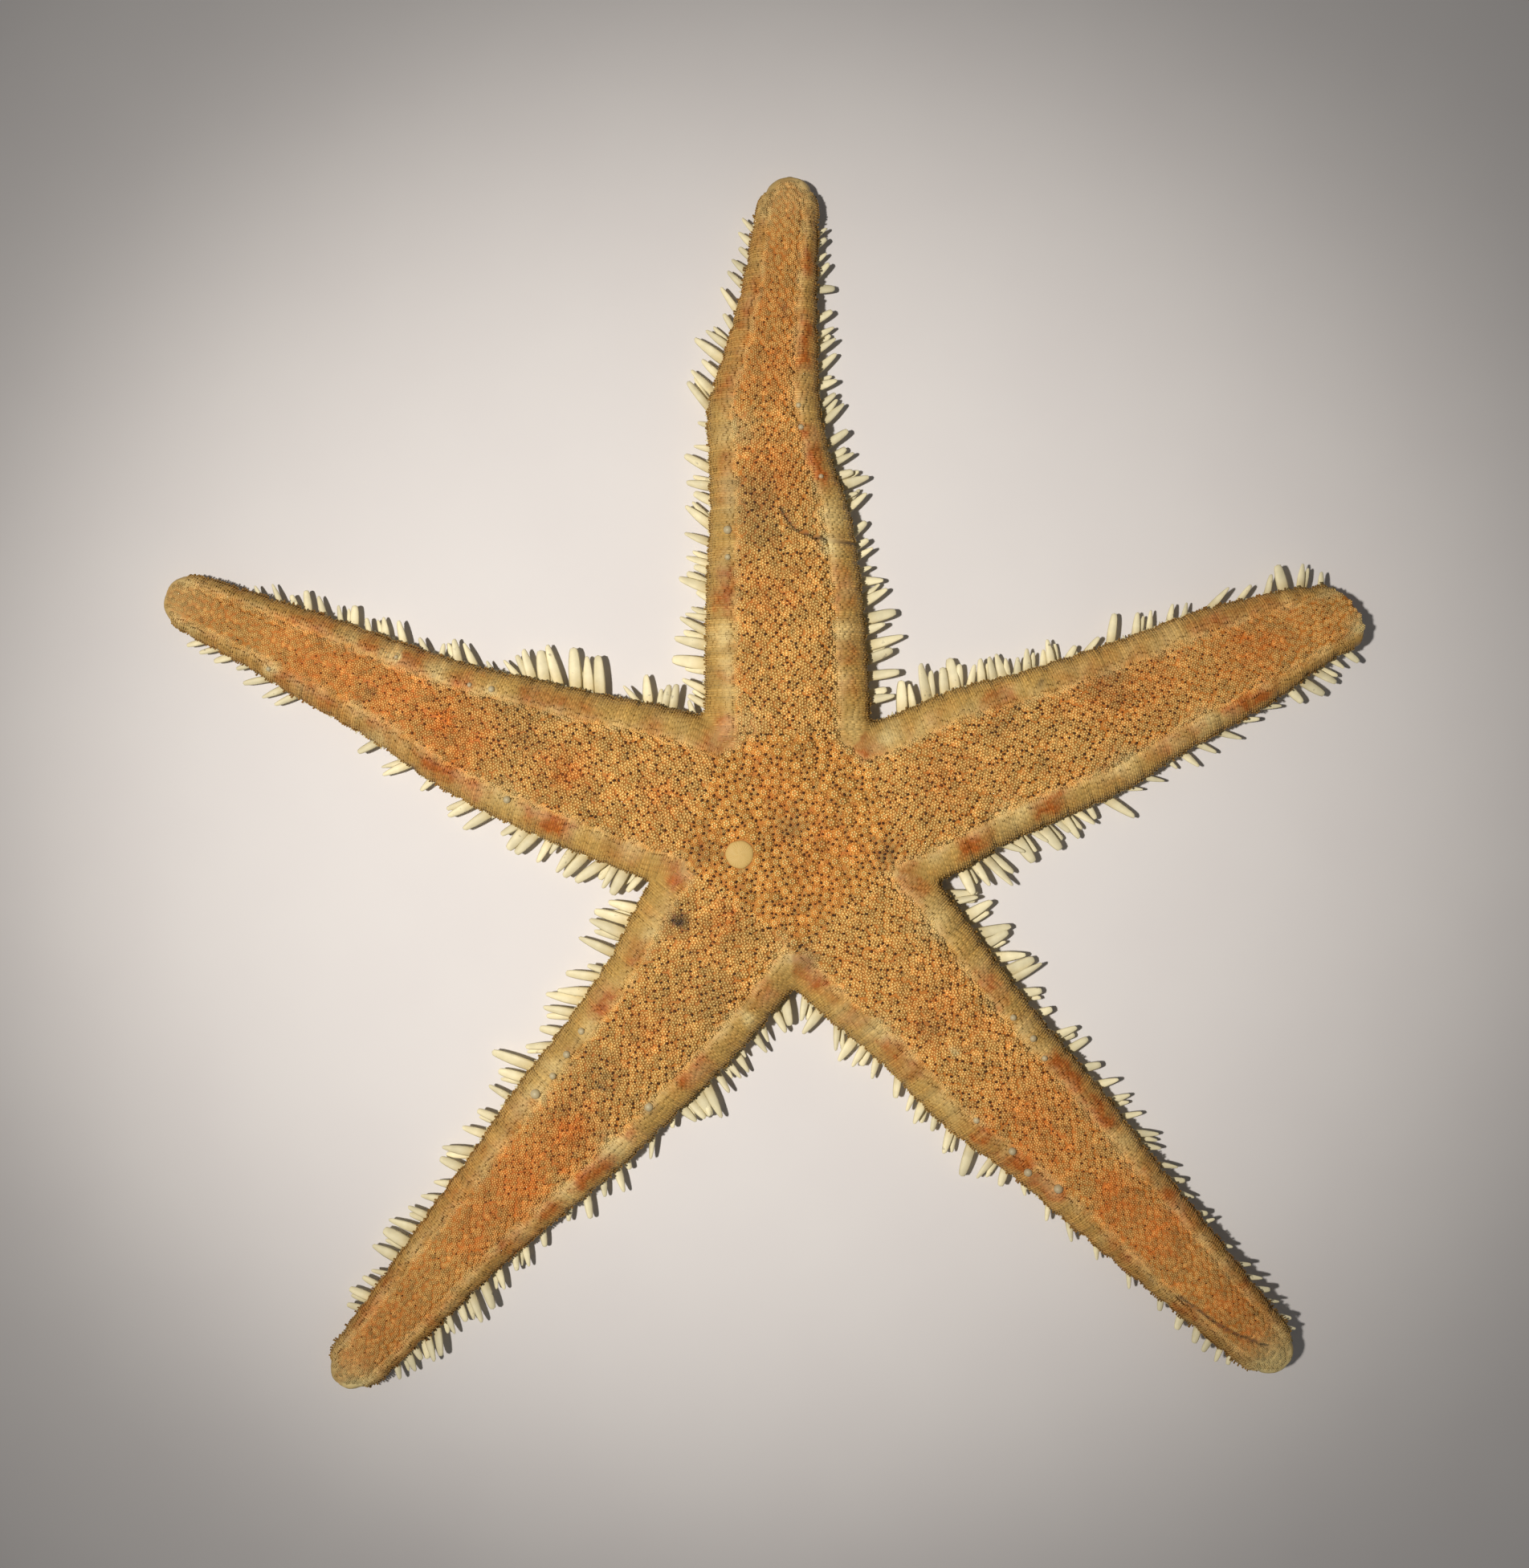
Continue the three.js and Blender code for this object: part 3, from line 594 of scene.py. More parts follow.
@dataclass
class Planting:
    """Many small shapes gathered into one mesh."""

    form: StarForm
    blocks: list = field(default_factory=list)

    def add(self, template: Template, at: Array, frames: Array, sizes: Array, tone: Array) -> None:
        """Plants a template at several places.

        Args:
            template: the shape.
            at: (n, 3) places.
            frames: (n, 3, 3) rows across, along and up of each shape.
            sizes: (n, 3) size across, along and up.
            tone: (n,) a shade for each shape.
        """
        local = template.points[None] * sizes[:, None]
        world = at[:, None] + np.einsum("nvi,nij->nvj", local, frames)
        self.blocks.append((template, world, np.asarray(tone, float)))

    def build(self, name: str, material: Finish) -> Piece:
        """Joins everything planted so far in one piece, in metres.

        Args:
            name: the piece's name.
            material: its finish.

        Returns:
            The piece.
        """
        points, corners, sizes, relief, tone = [], [], [], [], []
        base = 0
        for template, world, shades in self.blocks:
            count, each = world.shape[:2]
            points.append(world.reshape(-1, 3))
            shift = base + each * np.arange(count)[:, None]
            corners.append((template.corners[None] + shift).ravel())
            sizes.append(np.tile(template.sizes, count))
            relief.append(np.tile(template.relief, count))
            tone.append(np.repeat(shades, each))
            base += count * each
        points = np.concatenate(points)
        values = {"relief": np.concatenate(relief), "tone": np.concatenate(tone)}
        values |= self.form.markings(points[:, 0], points[:, 1])
        mesh = mesh_of(name, points, np.concatenate(corners), np.concatenate(sizes), values)
        return finish_piece(name, mesh, material)


def paint(mesh: bpy.types.Mesh, values: dict[str, Array]) -> None:
    """Writes named numbers, one for each point, on a mesh.

    Args:
        mesh: the mesh.
        values: named numbers, one for each point.
    """
    for label, numbers in values.items():
        layer = mesh.attributes.new(label, "FLOAT", "POINT")
        layer.data.foreach_set("value", np.asarray(numbers, np.float32))


def mesh_of(name: str, points: Array, corners: Array, sizes: Array,
            values: dict[str, Array]) -> bpy.types.Mesh:
    """A smooth-shaded mesh from joined shapes.

    Args:
        name: the mesh's name.
        points: (n, 3) points in millimetres.
        corners: the point of each face corner, face after face.
        sizes: how many corners each face has.
        values: named numbers, one for each point.

    Returns:
        The mesh, in metres.
    """
    mesh = bpy.data.meshes.new(name)
    mesh.vertices.add(len(points))
    mesh.vertices.foreach_set("co", (points * MM).astype(np.float32).ravel())
    mesh.loops.add(len(corners))
    mesh.loops.foreach_set("vertex_index", corners.astype(np.int32))
    mesh.polygons.add(len(sizes))
    starts = np.concatenate(([0], np.cumsum(sizes)[:-1]))
    mesh.polygons.foreach_set("loop_start", starts.astype(np.int32))
    mesh.polygons.foreach_set("use_smooth", np.ones(len(sizes), bool))
    mesh.update(calc_edges=True)
    paint(mesh, values)
    return mesh


def finish_piece(name: str, mesh: bpy.types.Mesh, material: Finish) -> Piece:
    """Puts a finished mesh in the scene as a piece that rides with the star.

    Args:
        name: the piece's name.
        mesh: the piece's mesh.
        material: its finish.

    Returns:
        The piece.
    """
    piece = bpy.data.objects.new(name, mesh)
    bpy.context.scene.collection.objects.link(piece)
    mesh.materials.append(material)
    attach(piece, BODY)
    log.info("%s: %d faces", name, len(mesh.polygons))
    return piece


def frames_on(normals: Array, along: Array) -> Array:
    """Frames that stand on a surface.

    Args:
        normals: (n, 3) surface normals.
        along: (n, 3) the way each shape points, roughly.

    Returns:
        (n, 3, 3) with rows across, along and up.
    """
    up = normals / np.linalg.norm(normals, axis=1, keepdims=True)
    flat = along - up * (along * up).sum(axis=1, keepdims=True)
    flat /= np.maximum(np.linalg.norm(flat, axis=1, keepdims=True), 1e-9)
    return np.stack((np.cross(flat, up), flat, up), axis=1)


def aimed(up: tuple[float, float, float], way: Array) -> Array:
    """Frames whose long side points exactly along each way.

    Args:
        up: roughly the way their upper sides face.
        way: (n, 3) the ways they point.

    Returns:
        (n, 3, 3) with rows across, along and up.
    """
    across = frames_on(same(up, len(way)), way)[:, 0]
    along = way / np.linalg.norm(way, axis=1)[:, None]
    return np.stack((across, along, np.cross(across, along)), axis=1)


@dataclass
class Skin:
    """The body's skin: five lofted arms and the disc grown into one closed surface."""

    form: StarForm
    around: int = 40
    stations: int = 110
    relaxing: int = 4
    worn_length: float = 16.0
    crest: float = 0.3
    inner_seam: float = 0.32
    middle_hollow: float = 0.35
    field_relief: float = 0.36
    edge_relief: float = 0.19
    under_relief: float = 0.6
    joint_depth: float = 0.24
    seam_depth: float = 0.32
    crack_depth: float = 0.5
    mouth: tuple[float, float] = (4.6, 3.0)
    tree: BVHTree | None = None

    @staticmethod
    def belly(shoulder: Array, up: Array) -> Array:
        """How far the underside hangs below the shoulder, at each height of the ball."""
        flatness, power = BELLY
        return -(shoulder - UNDER) * np.minimum(1.0, flatness * np.abs(up) ** power)

    def arm_points(self, arm: Arm, ball: Array) -> Array:
        """Moves the points of a unit ball onto an arm.

        Args:
            arm: the arm.
            ball: (n, 3) points of a ball whose poles are on its z axis.

        Returns:
            (n, 3) points of the arm's smooth form.
        """
        turn = np.arccos(np.clip(-ball[:, 2], -1, 1)) / math.pi
        s = ARM_START + (arm.length - ARM_START) * (1 - (1 - turn) ** 1.25)
        ring = np.hypot(ball[:, 0], ball[:, 1])
        pole = ring < 1e-6
        side = np.where(pole, 0, ball[:, 0] / np.maximum(ring, 1e-9))
        up = np.where(pole, 0, ball[:, 1] / np.maximum(ring, 1e-9))
        scale = arm.closing(s) * np.where(pole, 0.0, 1.0)
        crown = self.form.crown(s)
        shoulder = crown * SHOULDER
        across = np.sign(side) * np.abs(side) ** BACK_SQUARE
        rise = np.where(up > 0, (crown - shoulder) * np.abs(up) ** CROWN_FULL, self.belly(shoulder, up))
        t = arm.midline(s) + (arm.half_width(s) - 0.1) * scale * across
        if arm.broken:
            end = smooth(arm.length - self.worn_length, arm.length, s)
            ragged = 0.55 * np.sin(1.9 * t) + 0.4 * np.sin(3.7 * t + 1.1) + 0.5 * np.sin(1.3 * rise)
            low_side = np.clip(-1.0 - t, 0.0, None)
            worn = 0.06 * (t + 1) ** 2 + 0.9 * bump(t - 1.0, 0.5) + 0.75 * low_side
            s = s - end * worn + end**4 * ragged * 0.6
        x, y = arm.to_star(s, t)
        return np.stack((x, y, arm.lift_at(s) + shoulder + rise * scale), axis=1)

    def disc_points(self, ball: Array) -> Array:
        """Moves the points of a unit ball onto the disc between the arms.

        Args:
            ball: (n, 3) points of a ball whose poles are on its z axis.

        Returns:
            (n, 3) points of the disc's smooth form.
        """
        angle = np.arctan2(ball[:, 1], ball[:, 0])
        radius = (self.form.rim(*about_disc(1.0, angle)) - 0.3) * np.hypot(ball[:, 0], ball[:, 1]) ** 0.45
        crown = self.form.crown(radius)
        shoulder = crown * SHOULDER
        up = ball[:, 2]
        rise = np.where(up > 0, (crown - shoulder) * np.abs(up) ** DISC_FULL, self.belly(shoulder, up))
        return np.stack((*about_disc(radius, angle), shoulder + rise), axis=1)

    def rough_form(self) -> bpy.types.Mesh:
        """Joins the lofted arms and the disc in one mesh of overlapping closed shells.

        Returns:
            The mesh, in metres.
        """
        shape = bmesh.new()
        movers = [lambda ball, arm=arm: self.arm_points(arm, ball) for arm in self.form.arms]
        for mover in (*movers, self.disc_points):
            made = bmesh.ops.create_uvsphere(shape, u_segments=self.around, v_segments=self.stations,
                                             radius=1.0)
            ball = np.array([v.co[:] for v in made["verts"]])
            for vert, place in zip(made["verts"], mover(ball) * MM):
                vert.co = place
        bmesh.ops.recalc_face_normals(shape, faces=shape.faces)
        mesh = bpy.data.meshes.new("rough_form")
        shape.to_mesh(mesh)
        shape.free()
        return mesh

    def grown_together(self, mesh: bpy.types.Mesh) -> bpy.types.Mesh:
        """Remeshes the shells as one skin of even small faces and relaxes it.

        Args:
            mesh: the joined shells.

        Returns:
            The skin, in metres.
        """
        rough = bpy.data.objects.new("rough_form", mesh)
        bpy.context.scene.collection.objects.link(rough)
        remesh = rough.modifiers.new("even_faces", "REMESH")
        remesh.mode = "VOXEL"
        remesh.voxel_size = VOXEL * MM
        graph = bpy.context.evaluated_depsgraph_get()
        skin = bpy.data.meshes.new_from_object(rough.evaluated_get(graph))
        bpy.data.objects.remove(rough)
        shape = bmesh.new()
        shape.from_mesh(skin)
        axes = {f"use_axis_{axis}": True for axis in "xyz"}
        for _ in range(self.relaxing):
            bmesh.ops.smooth_vert(shape, verts=shape.verts, factor=0.5, **axes)
        shape.to_mesh(skin)
        shape.free()
        return skin

    def modelled(self, co: Array, normal: Array) -> Array:
        """Gives the skin its plates, grooves, furrows, mouth, crack and drying wrinkles.

        Args:
            co: (n, 3) points in millimetres.
            normal: (n, 3) their normals.

        Returns:
            (n, 3) the moved points.
        """
        x, y, z = co.T
        g = self.form.ground(x, y)
        top = smooth(0.1, 0.7, normal[:, 2])
        side = 1 - smooth(0.45, 0.9, np.abs(normal[:, 2]))
        below = normal[:, 2] < -0.2
        edge = 1 - smooth(-0.3, 0.3, g.depth - g.band)
        out = np.zeros(len(co))
        rise = -self.inner_seam * top * bump(g.depth - g.band, 0.5) * smooth(ARMS_BEGIN, 17, g.radius)
        rise += top * edge * self.crest * np.sin(np.clip(g.depth / g.band, 0, 1) * math.pi)
        rise += top * (0.14 * ripple(x, y, 11.0, 2.0) + 0.07 * ripple(x, y, 4.0, 5.0))
        rise -= top * self.middle_hollow * bump(g.radius, 3.0)
        for number, arm in enumerate(self.form.arms):
            mine = g.arm == number
            joint = np.abs((arm.plate(g.s) + 0.5) % 1.0 - 0.5)
            jointed = np.maximum(edge * top, side) * bump(joint, 0.11) * smooth(17, 21, g.s)
            out -= mine * self.joint_depth * jointed
            level = (z - arm.lift_at(g.s)) / np.maximum(self.form.crown(g.s), 1.0)
            seam = bump(level - 0.36, 0.06) * (1 - smooth(arm.length - 5, arm.length - 2, g.s))
            out -= mine * side * self.seam_depth * seam
            offset = np.abs(g.t - arm.midline(g.s) * smooth(0, 25, g.s))
            along = np.clip(g.s / arm.length, 0, 1)
            half, deep = 2.1 - 1.3 * along, 3.0 - 1.9 * along
            groove = mine * below * (g.s > 0) * (1 - smooth(arm.length - 4, arm.length - 2, g.s))
            rise += groove * deep * np.sqrt(np.clip(1 - (offset / half) ** 2, 0, 1))
            if arm.crack:
                away = self.from_line(g.s, g.t, arm.crack)
                rise -= mine * top * self.crack_depth * bump(away, 0.32)
        wide, deep = self.mouth
        rise += below * deep * np.sqrt(np.clip(1 - (g.radius / wide) ** 2, 0, 1))
        moved = co + normal * out[:, None]
        moved[:, 2] += rise
        return moved

    @staticmethod
    def from_line(s: Array, t: Array, line: tuple) -> Array:
        """How far each place is from a broken line of (s, t) points.

        Args:
            s: distance out along the arm.
            t: offset to the left of the arm's heading.
            line: its points, as (s, t).

        Returns:
            The distance, one for each place.
        """
        nearest = np.full(np.shape(s), FAR)
        for (s0, t0), (s1, t1) in zip(line, line[1:]):
            ds, dt = s1 - s0, t1 - t0
            u = np.clip(((s - s0) * ds + (t - t0) * dt) / (ds * ds + dt * dt), 0, 1)
            nearest = np.minimum(nearest, np.hypot(s - s0 - u * ds, t - t0 - u * dt))
        return nearest

    def build(self, material: Finish) -> Piece:
        """Builds the skin, which stands for the CAD solid.

        Args:
            material: its finish.

        Returns:
            The piece.
        """
        mesh = self.grown_together(self.rough_form())
        mesh.name = "skin"
        count = len(mesh.vertices)
        co = np.empty(count * 3, np.float32)
        normal = np.empty(count * 3, np.float32)
        mesh.vertices.foreach_get("co", co)
        mesh.vertex_normals.foreach_get("vector", normal)
        moved = self.modelled(co.reshape(-1, 3) / MM, normal.reshape(-1, 3))
        mesh.vertices.foreach_set("co", (moved * MM).astype(np.float32).ravel())
        mesh.polygons.foreach_set("use_smooth", np.ones(len(mesh.polygons), bool))
        mesh.update()
        values = self.form.markings(moved[:, 0], moved[:, 1])
        # The skin sits low on the colour ramps, so between the columns it is partly painted shade.
        below = smooth(0.0, 0.4, -normal.reshape(-1, 3)[:, 2])
        relief = self.field_relief + self.edge_relief * values["edge"]
        values["relief"] = np.maximum(relief, self.under_relief * below)
        values["tone"] = np.full(count, 0.5)
        paint(mesh, values)
        mesh.materials.clear()
        self.tree = BVHTree.FromPolygons(moved.tolist(), [p.vertices[:] for p in mesh.polygons])
        piece = finish_piece("skin", mesh, material)
        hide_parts(NODE)
        return piece

    def cast(self, start: Array, way: Array, reach: float = 40.0) -> tuple[Array, Array, Array]:
        """Where rays meet the skin.

        Args:
            start: (n, 3) where the rays start.
            way: (n, 3) their directions.
            reach: how far they go.

        Returns:
            A mask of the rays that hit, and the points and outward normals of those hits.
        """
        hit, places, normals = [], [], []
        for a, b in zip(start, way):
            place, normal, _, _ = self.tree.ray_cast(Vector(a), Vector(b), reach)
            hit.append(place is not None)
            if place is not None:
                places.append(place[:])
                normals.append(normal[:])
        return np.array(hit, bool), np.array(places).reshape(-1, 3), np.array(normals).reshape(-1, 3)

    def drop(self, x: Array, y: Array, from_above: bool = True) -> tuple[Array, Array, Array]:
        """Where plumb lines at x and y meet the top of the skin, or its underside from below.

        Args:
            x: the lines' x.
            y: their y.
            from_above: whether the lines come down from above, or up from below.

        Returns:
            A mask of the lines that meet it, and the points and outward normals where they do.
        """
        height, way = (20.0, -1.0) if from_above else (-5.0, 1.0)
        start = np.stack((x, y, np.full(len(x), height)), axis=1)
        return self.cast(start, same((0.0, 0.0, way), len(x)))


@dataclass(frozen=True)
class Rosette:
    """A low column with a crown of grains: one of the star's paxillae.

    Each ring of grains is (how many, distance from the middle, half width, height).
    """

    rings: tuple = ((1, 0.0, 0.34, 0.5), (6, 0.64, 0.34, 0.38))
    column: float = 0.92
    top: float = 0.3
    sides: int = 7
    bright: float = 0.36
    fade: float = 0.12

    def template(self) -> Template:
        """Shapes the crown: rings of grains standing on a low column.

        Returns:
            The shape.
        """
        shape = bmesh.new()
        base = Matrix.Translation((0.0, 0.0, 0.5 * (self.top - 1.0)))
        bmesh.ops.create_cone(shape, cap_ends=True, segments=self.sides, radius1=0.8 * self.column,
                              radius2=self.column, depth=self.top + 1.0, matrix=base)
        for count, away, half, height in self.rings:
            for k in range(count):
                turn = 2 * math.pi * (k + 0.5 * (away > 0.5)) / count
                spot = Matrix.Translation((away * math.cos(turn), away * math.sin(turn), height))
                grain = spot @ Matrix.Rotation(turn, 4, "Z") @ Matrix.Diagonal((half, half, 0.9 * half, 1.0))
                bmesh.ops.create_uvsphere(shape, u_segments=4, v_segments=2, radius=1.0, matrix=grain)
        return Template.of(shape, self.shade)

    def shade(self, points: Array) -> Array:
        """How light each point is: lower points are painted darker as shade, and the middle of the crown is
        paler than its outer grains.
        """
        outer = smooth(self.bright, self.bright + 0.1, np.hypot(points[:, 0], points[:, 1]))
        return np.clip(0.42 + 0.85 * points[:, 2], 0.0, 1.0) * (1.0 - self.fade * outer)


@dataclass(frozen=True)
class PitShade:
    """A dark speck between the columns: painted shade in the pits there."""

    def template(self) -> Template:
        """Shapes the speck: a ball of a few faces, wholly dark, as painted shade.

        Returns:
            The shape.
        """
        shape = bmesh.new()
        bmesh.ops.create_uvsphere(shape, u_segments=6, v_segments=3, radius=1.0)
        return Template.of(shape, lambda p: np.zeros(len(p)))


@dataclass(frozen=True)
class Grain:
    """A small rounded grain, scale or stub."""

    rings: int = 2
    sides: int = 4
    taper: float = 0.0

    def template(self) -> Template:
        """Shapes the grain: a ball of a few faces that narrows along y.

        Returns:
            The shape.
        """
        shape = bmesh.new()
        bmesh.ops.create_uvsphere(shape, u_segments=self.sides, v_segments=self.rings, radius=1.0)
        for vert in shape.verts:
            narrow = 1.0 - self.taper * vert.co.y
            vert.co.x *= narrow
            vert.co.z *= narrow
        # The relief also colours the grain: its lower side is painted darker, as shade.
        return Template.of(shape, lambda p: np.clip(0.35 + 0.75 * p[:, 2], 0.0, 1.0))


@dataclass(frozen=True)
class Ridge:
    """A short three-sided ridge along y, as fine ridges and thin scales are."""

    crest: float = 0.72
    foot: float = 0.85

    def template(self) -> Template:
        """Shapes the ridge: a block whose top closes to one line, shorter than its foot.

        Returns:
            The shape.
        """
        shape = bmesh.new()
        bmesh.ops.create_cube(shape, size=2.0)
        for vert in shape.verts:
            if vert.co.z > 0:
                vert.co = (0.0, self.crest * vert.co.y, 1.0)
            else:
                vert.co = (vert.co.x, vert.co.y, -self.foot)
        bmesh.ops.remove_doubles(shape, verts=shape.verts, dist=0.001)
        # The relief also colours the ridge: its lower side is painted darker, as shade.
        return Template.of(shape, lambda p: np.clip(0.35 + 0.65 * p[:, 2], 0.0, 1.0))


class Tip(Enum):
    """How a comb spine ends."""

    ROUND = "round"
    BLUNT = "blunt"
    CHISEL = "chisel"


@dataclass(frozen=True)
class Blade:
    """A flat comb spine from y = 0 at its root to y = 1 at its tip."""

    tip: Tip
    sides: int = 8
    rings: int = 9

    def template(self) -> Template:
        """Shapes the blade: a flattened ball drawn out along y, with the tip cut as named.

        Returns:
            The shape.
        """
        shape = bmesh.new()
        bmesh.ops.create_uvsphere(shape, u_segments=self.sides, v_segments=self.rings, radius=1.0)
        for vert in shape.verts:
            x, y, z = vert.co
            along = 0.5 - 0.5 * z
            ring = math.hypot(x, y)
            fat = 1.0 if ring < 1e-6 else min(1.0, ring) ** (0.42 if along > 0.5 else 0.3) / ring
            wide = 1.0 - 0.42 * along**1.6
            if self.tip is Tip.ROUND:
                wide *= 1.0 - 0.2 * max(0.0, along - 0.6) / 0.4
            if self.tip is Tip.BLUNT:
                wide = 1.04 - 0.2 * along**2
            slant = 0.07 * x if self.tip is Tip.CHISEL else 0.0
            bend = -0.05 * math.sin(along * math.pi)
            vert.co = (0.5 * x * fat * wide, along + slant * along, 0.5 * y * fat * wide + bend)
        # The relief runs from root to tip, so the root is painted darker, as shade.
        return Template.of(shape, lambda p: np.clip(p[:, 1], 0.0, 1.0))


@dataclass
class Layer:
    """Small things planted on the skin."""

    form: StarForm
    skin: Skin

    def arms(self, seed: Seed) -> Iterator[tuple[int, Arm, Rng]]:
        """Each arm with its number and its own random draws."""
        for number, arm in enumerate(self.form.arms):
            yield number, arm, seed.draws(number)


@dataclass
class Paxillae(Layer):
    """The crowned columns that pave the arms' backs in staggered rows, and the disc in a whorl."""

    broad: Rosette = Rosette(((1, 0.0, 0.17, 0.2), (6, 0.36, 0.22, 0.5), (11, 0.8, 0.22, 0.3)),
                             column=0.94, sides=10, bright=0.58, fade=0.24)
    neighbours: int = 4
    spread: float = 0.56
    disc_tone: float = 0.62
    start: float = 13.0
    slip: float = 0.09
    sieve_room: float = 2.15
    sink: float = 0.05
    height: float = 0.38
    row_step: float = 0.72
    slant: float = 0.06
    side_tone: float = 0.45
    middle_tone: float = 0.82
    middle_width: float = 0.85
    small: float = 0.36
    # The dark specks are painted shade in the pits between columns.
    speck: tuple = (0.17, 0.23, 0.1)
    pit_shade_height: float = 0.2
    pit_shade_room: float = 0.0
    pit_shade_apart: float = 0.52

    def pitch(self, s: Array) -> Array:
        """The distance between the middle row's columns at s; side rows stand twice as close."""
        return np.interp(s, (23, 37, 51, 65, 78, 95), (1.75, 1.68, 1.5, 1.36, 1.18, 1.0))

    def rows(self, arm: Arm, random: Rng) -> Columns:
        """Sets out an arm's staggered rows.

        Args:
            arm: the arm.
            random: seeded randomness for small slips.

        Returns:
            s, t, the half size across and the half size along the arm of each column, and its
            brightness.
        """
        places = []
        s = self.start
        row = 0
        while s < arm.length - 1.2:
            pitch = float(self.pitch(s))
            cross = self.row_step * pitch
            middle = float(arm.midline(s)) * float(smooth(0, 25, s))
            reach = float(arm.half_width(s) * arm.closing(s)) + 1.0
            wide = self.middle_width * pitch / 1.75 * float(1 - 0.3 * smooth(55, 80, s))
            if row % 2 == 0:
                places.append((s, middle, wide, 0.27 * pitch, self.middle_tone))
            first = wide + 0.42 * cross if row % 2 == 0 else 0.55 * cross
            for side in (1, -1):
                offset = first
                while offset < reach:
                    t = middle + side * offset
                    places.append((s + self.slant * offset, t, 0.53 * cross, 0.38 * pitch, self.side_tone))
                    offset += cross
            s += 0.5 * pitch
            row += 1
        table = np.array(places)
        table[:, 0] += random.normal(0, self.slip, len(table)) + 0.1 * ripple(table[:, 0], table[:, 1], 9, 3)
        table[:, 1] += random.normal(0, self.slip, len(table)) + 0.1 * ripple(table[:, 1], table[:, 0], 7, 6)
        return tuple(table.T)

    def border(self, arm: Arm) -> Columns:
        """Sets out the bright row where the back meets the edge plates.

        Args:
            arm: the arm.

        Returns:
            s, t, half sizes and brightness, as rows() does.
        """
        s = np.arange(self.start, arm.length - 5.0, 0.62)
        places = []
        for side in Side:
            reach = arm.half_width(s) - arm.band(s) - 0.1 + 0.35 * ripple(s, 0 * s, 3.3, side.value)
            t = arm.midline(s) + side.value * reach
            places.append(np.stack((s, t, 0.36 + 0 * s, 0.46 + 0 * s, 1.0 + 0 * s), axis=1))
        return tuple(np.concatenate(places).T)

    def gap(self, radius: Array) -> Array:
        """How far apart the disc's columns stand at a distance from its middle."""
        return np.interp(radius, (0, 2, 4, 10, 13, 16), (0.85, 1.1, 1.75, 1.65, 1.35, 1.1))

    def whorl(self, random: Rng, turns: int = 24, tries: int = 14000) -> tuple[Array, Array]:
        """Spreads columns evenly over the disc.

        Args:
            random: seeded randomness.
            turns: how many times the columns shift to even out.
            tries: how many points probe the space.

        Returns:
            x and y of each column.
        """
        probe = np.stack(self.disc_probe(random, tries), axis=1)
        gap = self.gap(np.hypot(probe[:, 0] - DISC_CENTRE[0], probe[:, 1] - DISC_CENTRE[1]))
        area = math.pi * DISC_REACH**2 / tries
        count = int((area / (0.87 * gap**2)).sum())
        spots = probe[random.choice(len(probe), count, replace=False, p=gap**-2 / (gap**-2).sum())]
        weight = gap**-2
        for _ in range(turns):
            far = ((probe[:, None] - spots[None]) ** 2).sum(axis=2)
            nearest = far.argmin(axis=1)
            total = np.bincount(nearest, weight, count)
            for k in (0, 1):
                drawn = np.bincount(nearest, weight * probe[:, k], count)
                spots[:, k] = np.where(total > 0, drawn / np.maximum(total, 1e-9), spots[:, k])
        return spots[:, 0], spots[:, 1]

    @staticmethod
    def bare(taken: Columns, probe: Columns, room: float, apart: float) -> Columns:
        """Finds the barest places between columns, barest first.

        Args:
            taken: the columns' x, y and half width.
            probe: x and y of the places to try.
            room: how far a place must be from every column's edge.
            apart: how far the places found must be from each other.

        Returns:
            x and y of the places found.
        """
        free = np.full(len(probe[0]), FAR)
        for x, y, half in zip(*taken):
            free = np.minimum(free, np.hypot(probe[0] - x, probe[1] - y) - 0.82 * half)
        found: list[int] = []
        for k in np.argsort(-free):
            if free[k] < room:
                break
            near = np.hypot(probe[0][found] - probe[0][k], probe[1][found] - probe[1][k])
            if not found or near.min() > apart:
                found.append(int(k))
        return probe[0][found], probe[1][found]

    def stand(self, planting: Planting, shape: Template, spots: Columns, heading: float,
              random: Rng) -> None:
        """Stands columns on the skin.

        Args:
            planting: where they are gathered.
            shape: the column's shape.
            spots: x, y, half size across the heading, half size along it and brightness.
            heading: the way the rows run, in degrees.
            random: seeded randomness for tone and height.
        """
        x, y, *sizes = spots
        hit, at, normal = self.skin.drop(x, y)
        steep = normal[:, 2] > 0.25
        at, normal = at[steep], normal[steep]
        across, along, bright = (values[hit][steep] for values in sizes)
        turn = np.radians(heading + random.normal(0, 10, len(at)))
        way = np.stack((np.cos(turn), np.sin(turn), np.zeros(len(at))), axis=1)
        frames = frames_on(normal * (1, 1, 1.6), way)
        at = at - frames[:, 2] * self.sink
        tone = scatter(random, bright, 0.2, len(at))
        rise = self.height * np.clip(along / 0.5, 0.75, 1.25) * random.uniform(0.9, 1.08, len(at))
        planting.add(shape, at, frames, np.stack((across, along, rise), axis=1), tone)

    def arm_probe(self, arm: Arm, number: int, random: Rng) -> tuple[Array, Array]:
        """Random places on the back of an arm, outside the disc and the crack.

        Args:
            arm: the arm.
            number: the arm's place in the list.
            random: seeded randomness.

        Returns:
            x and y of the places.
        """
        s = random.uniform(self.start - 0.5, arm.length - 3.0, 9000)
        x, y = arm.to_star(s, arm.midline(s) + random.uniform(-9.0, 9.0, len(s)))
        g = self.form.ground(x, y)
        good = (g.arm == number) & (g.depth > g.band + 0.1) & (g.radius > ARMS_BEGIN)
        good &= g.s < arm.worn_to(g.t, 1.0)
        if arm.crack:
            good &= Skin.from_line(g.s, g.t, arm.crack) > 0.3
        return x[good], y[good]

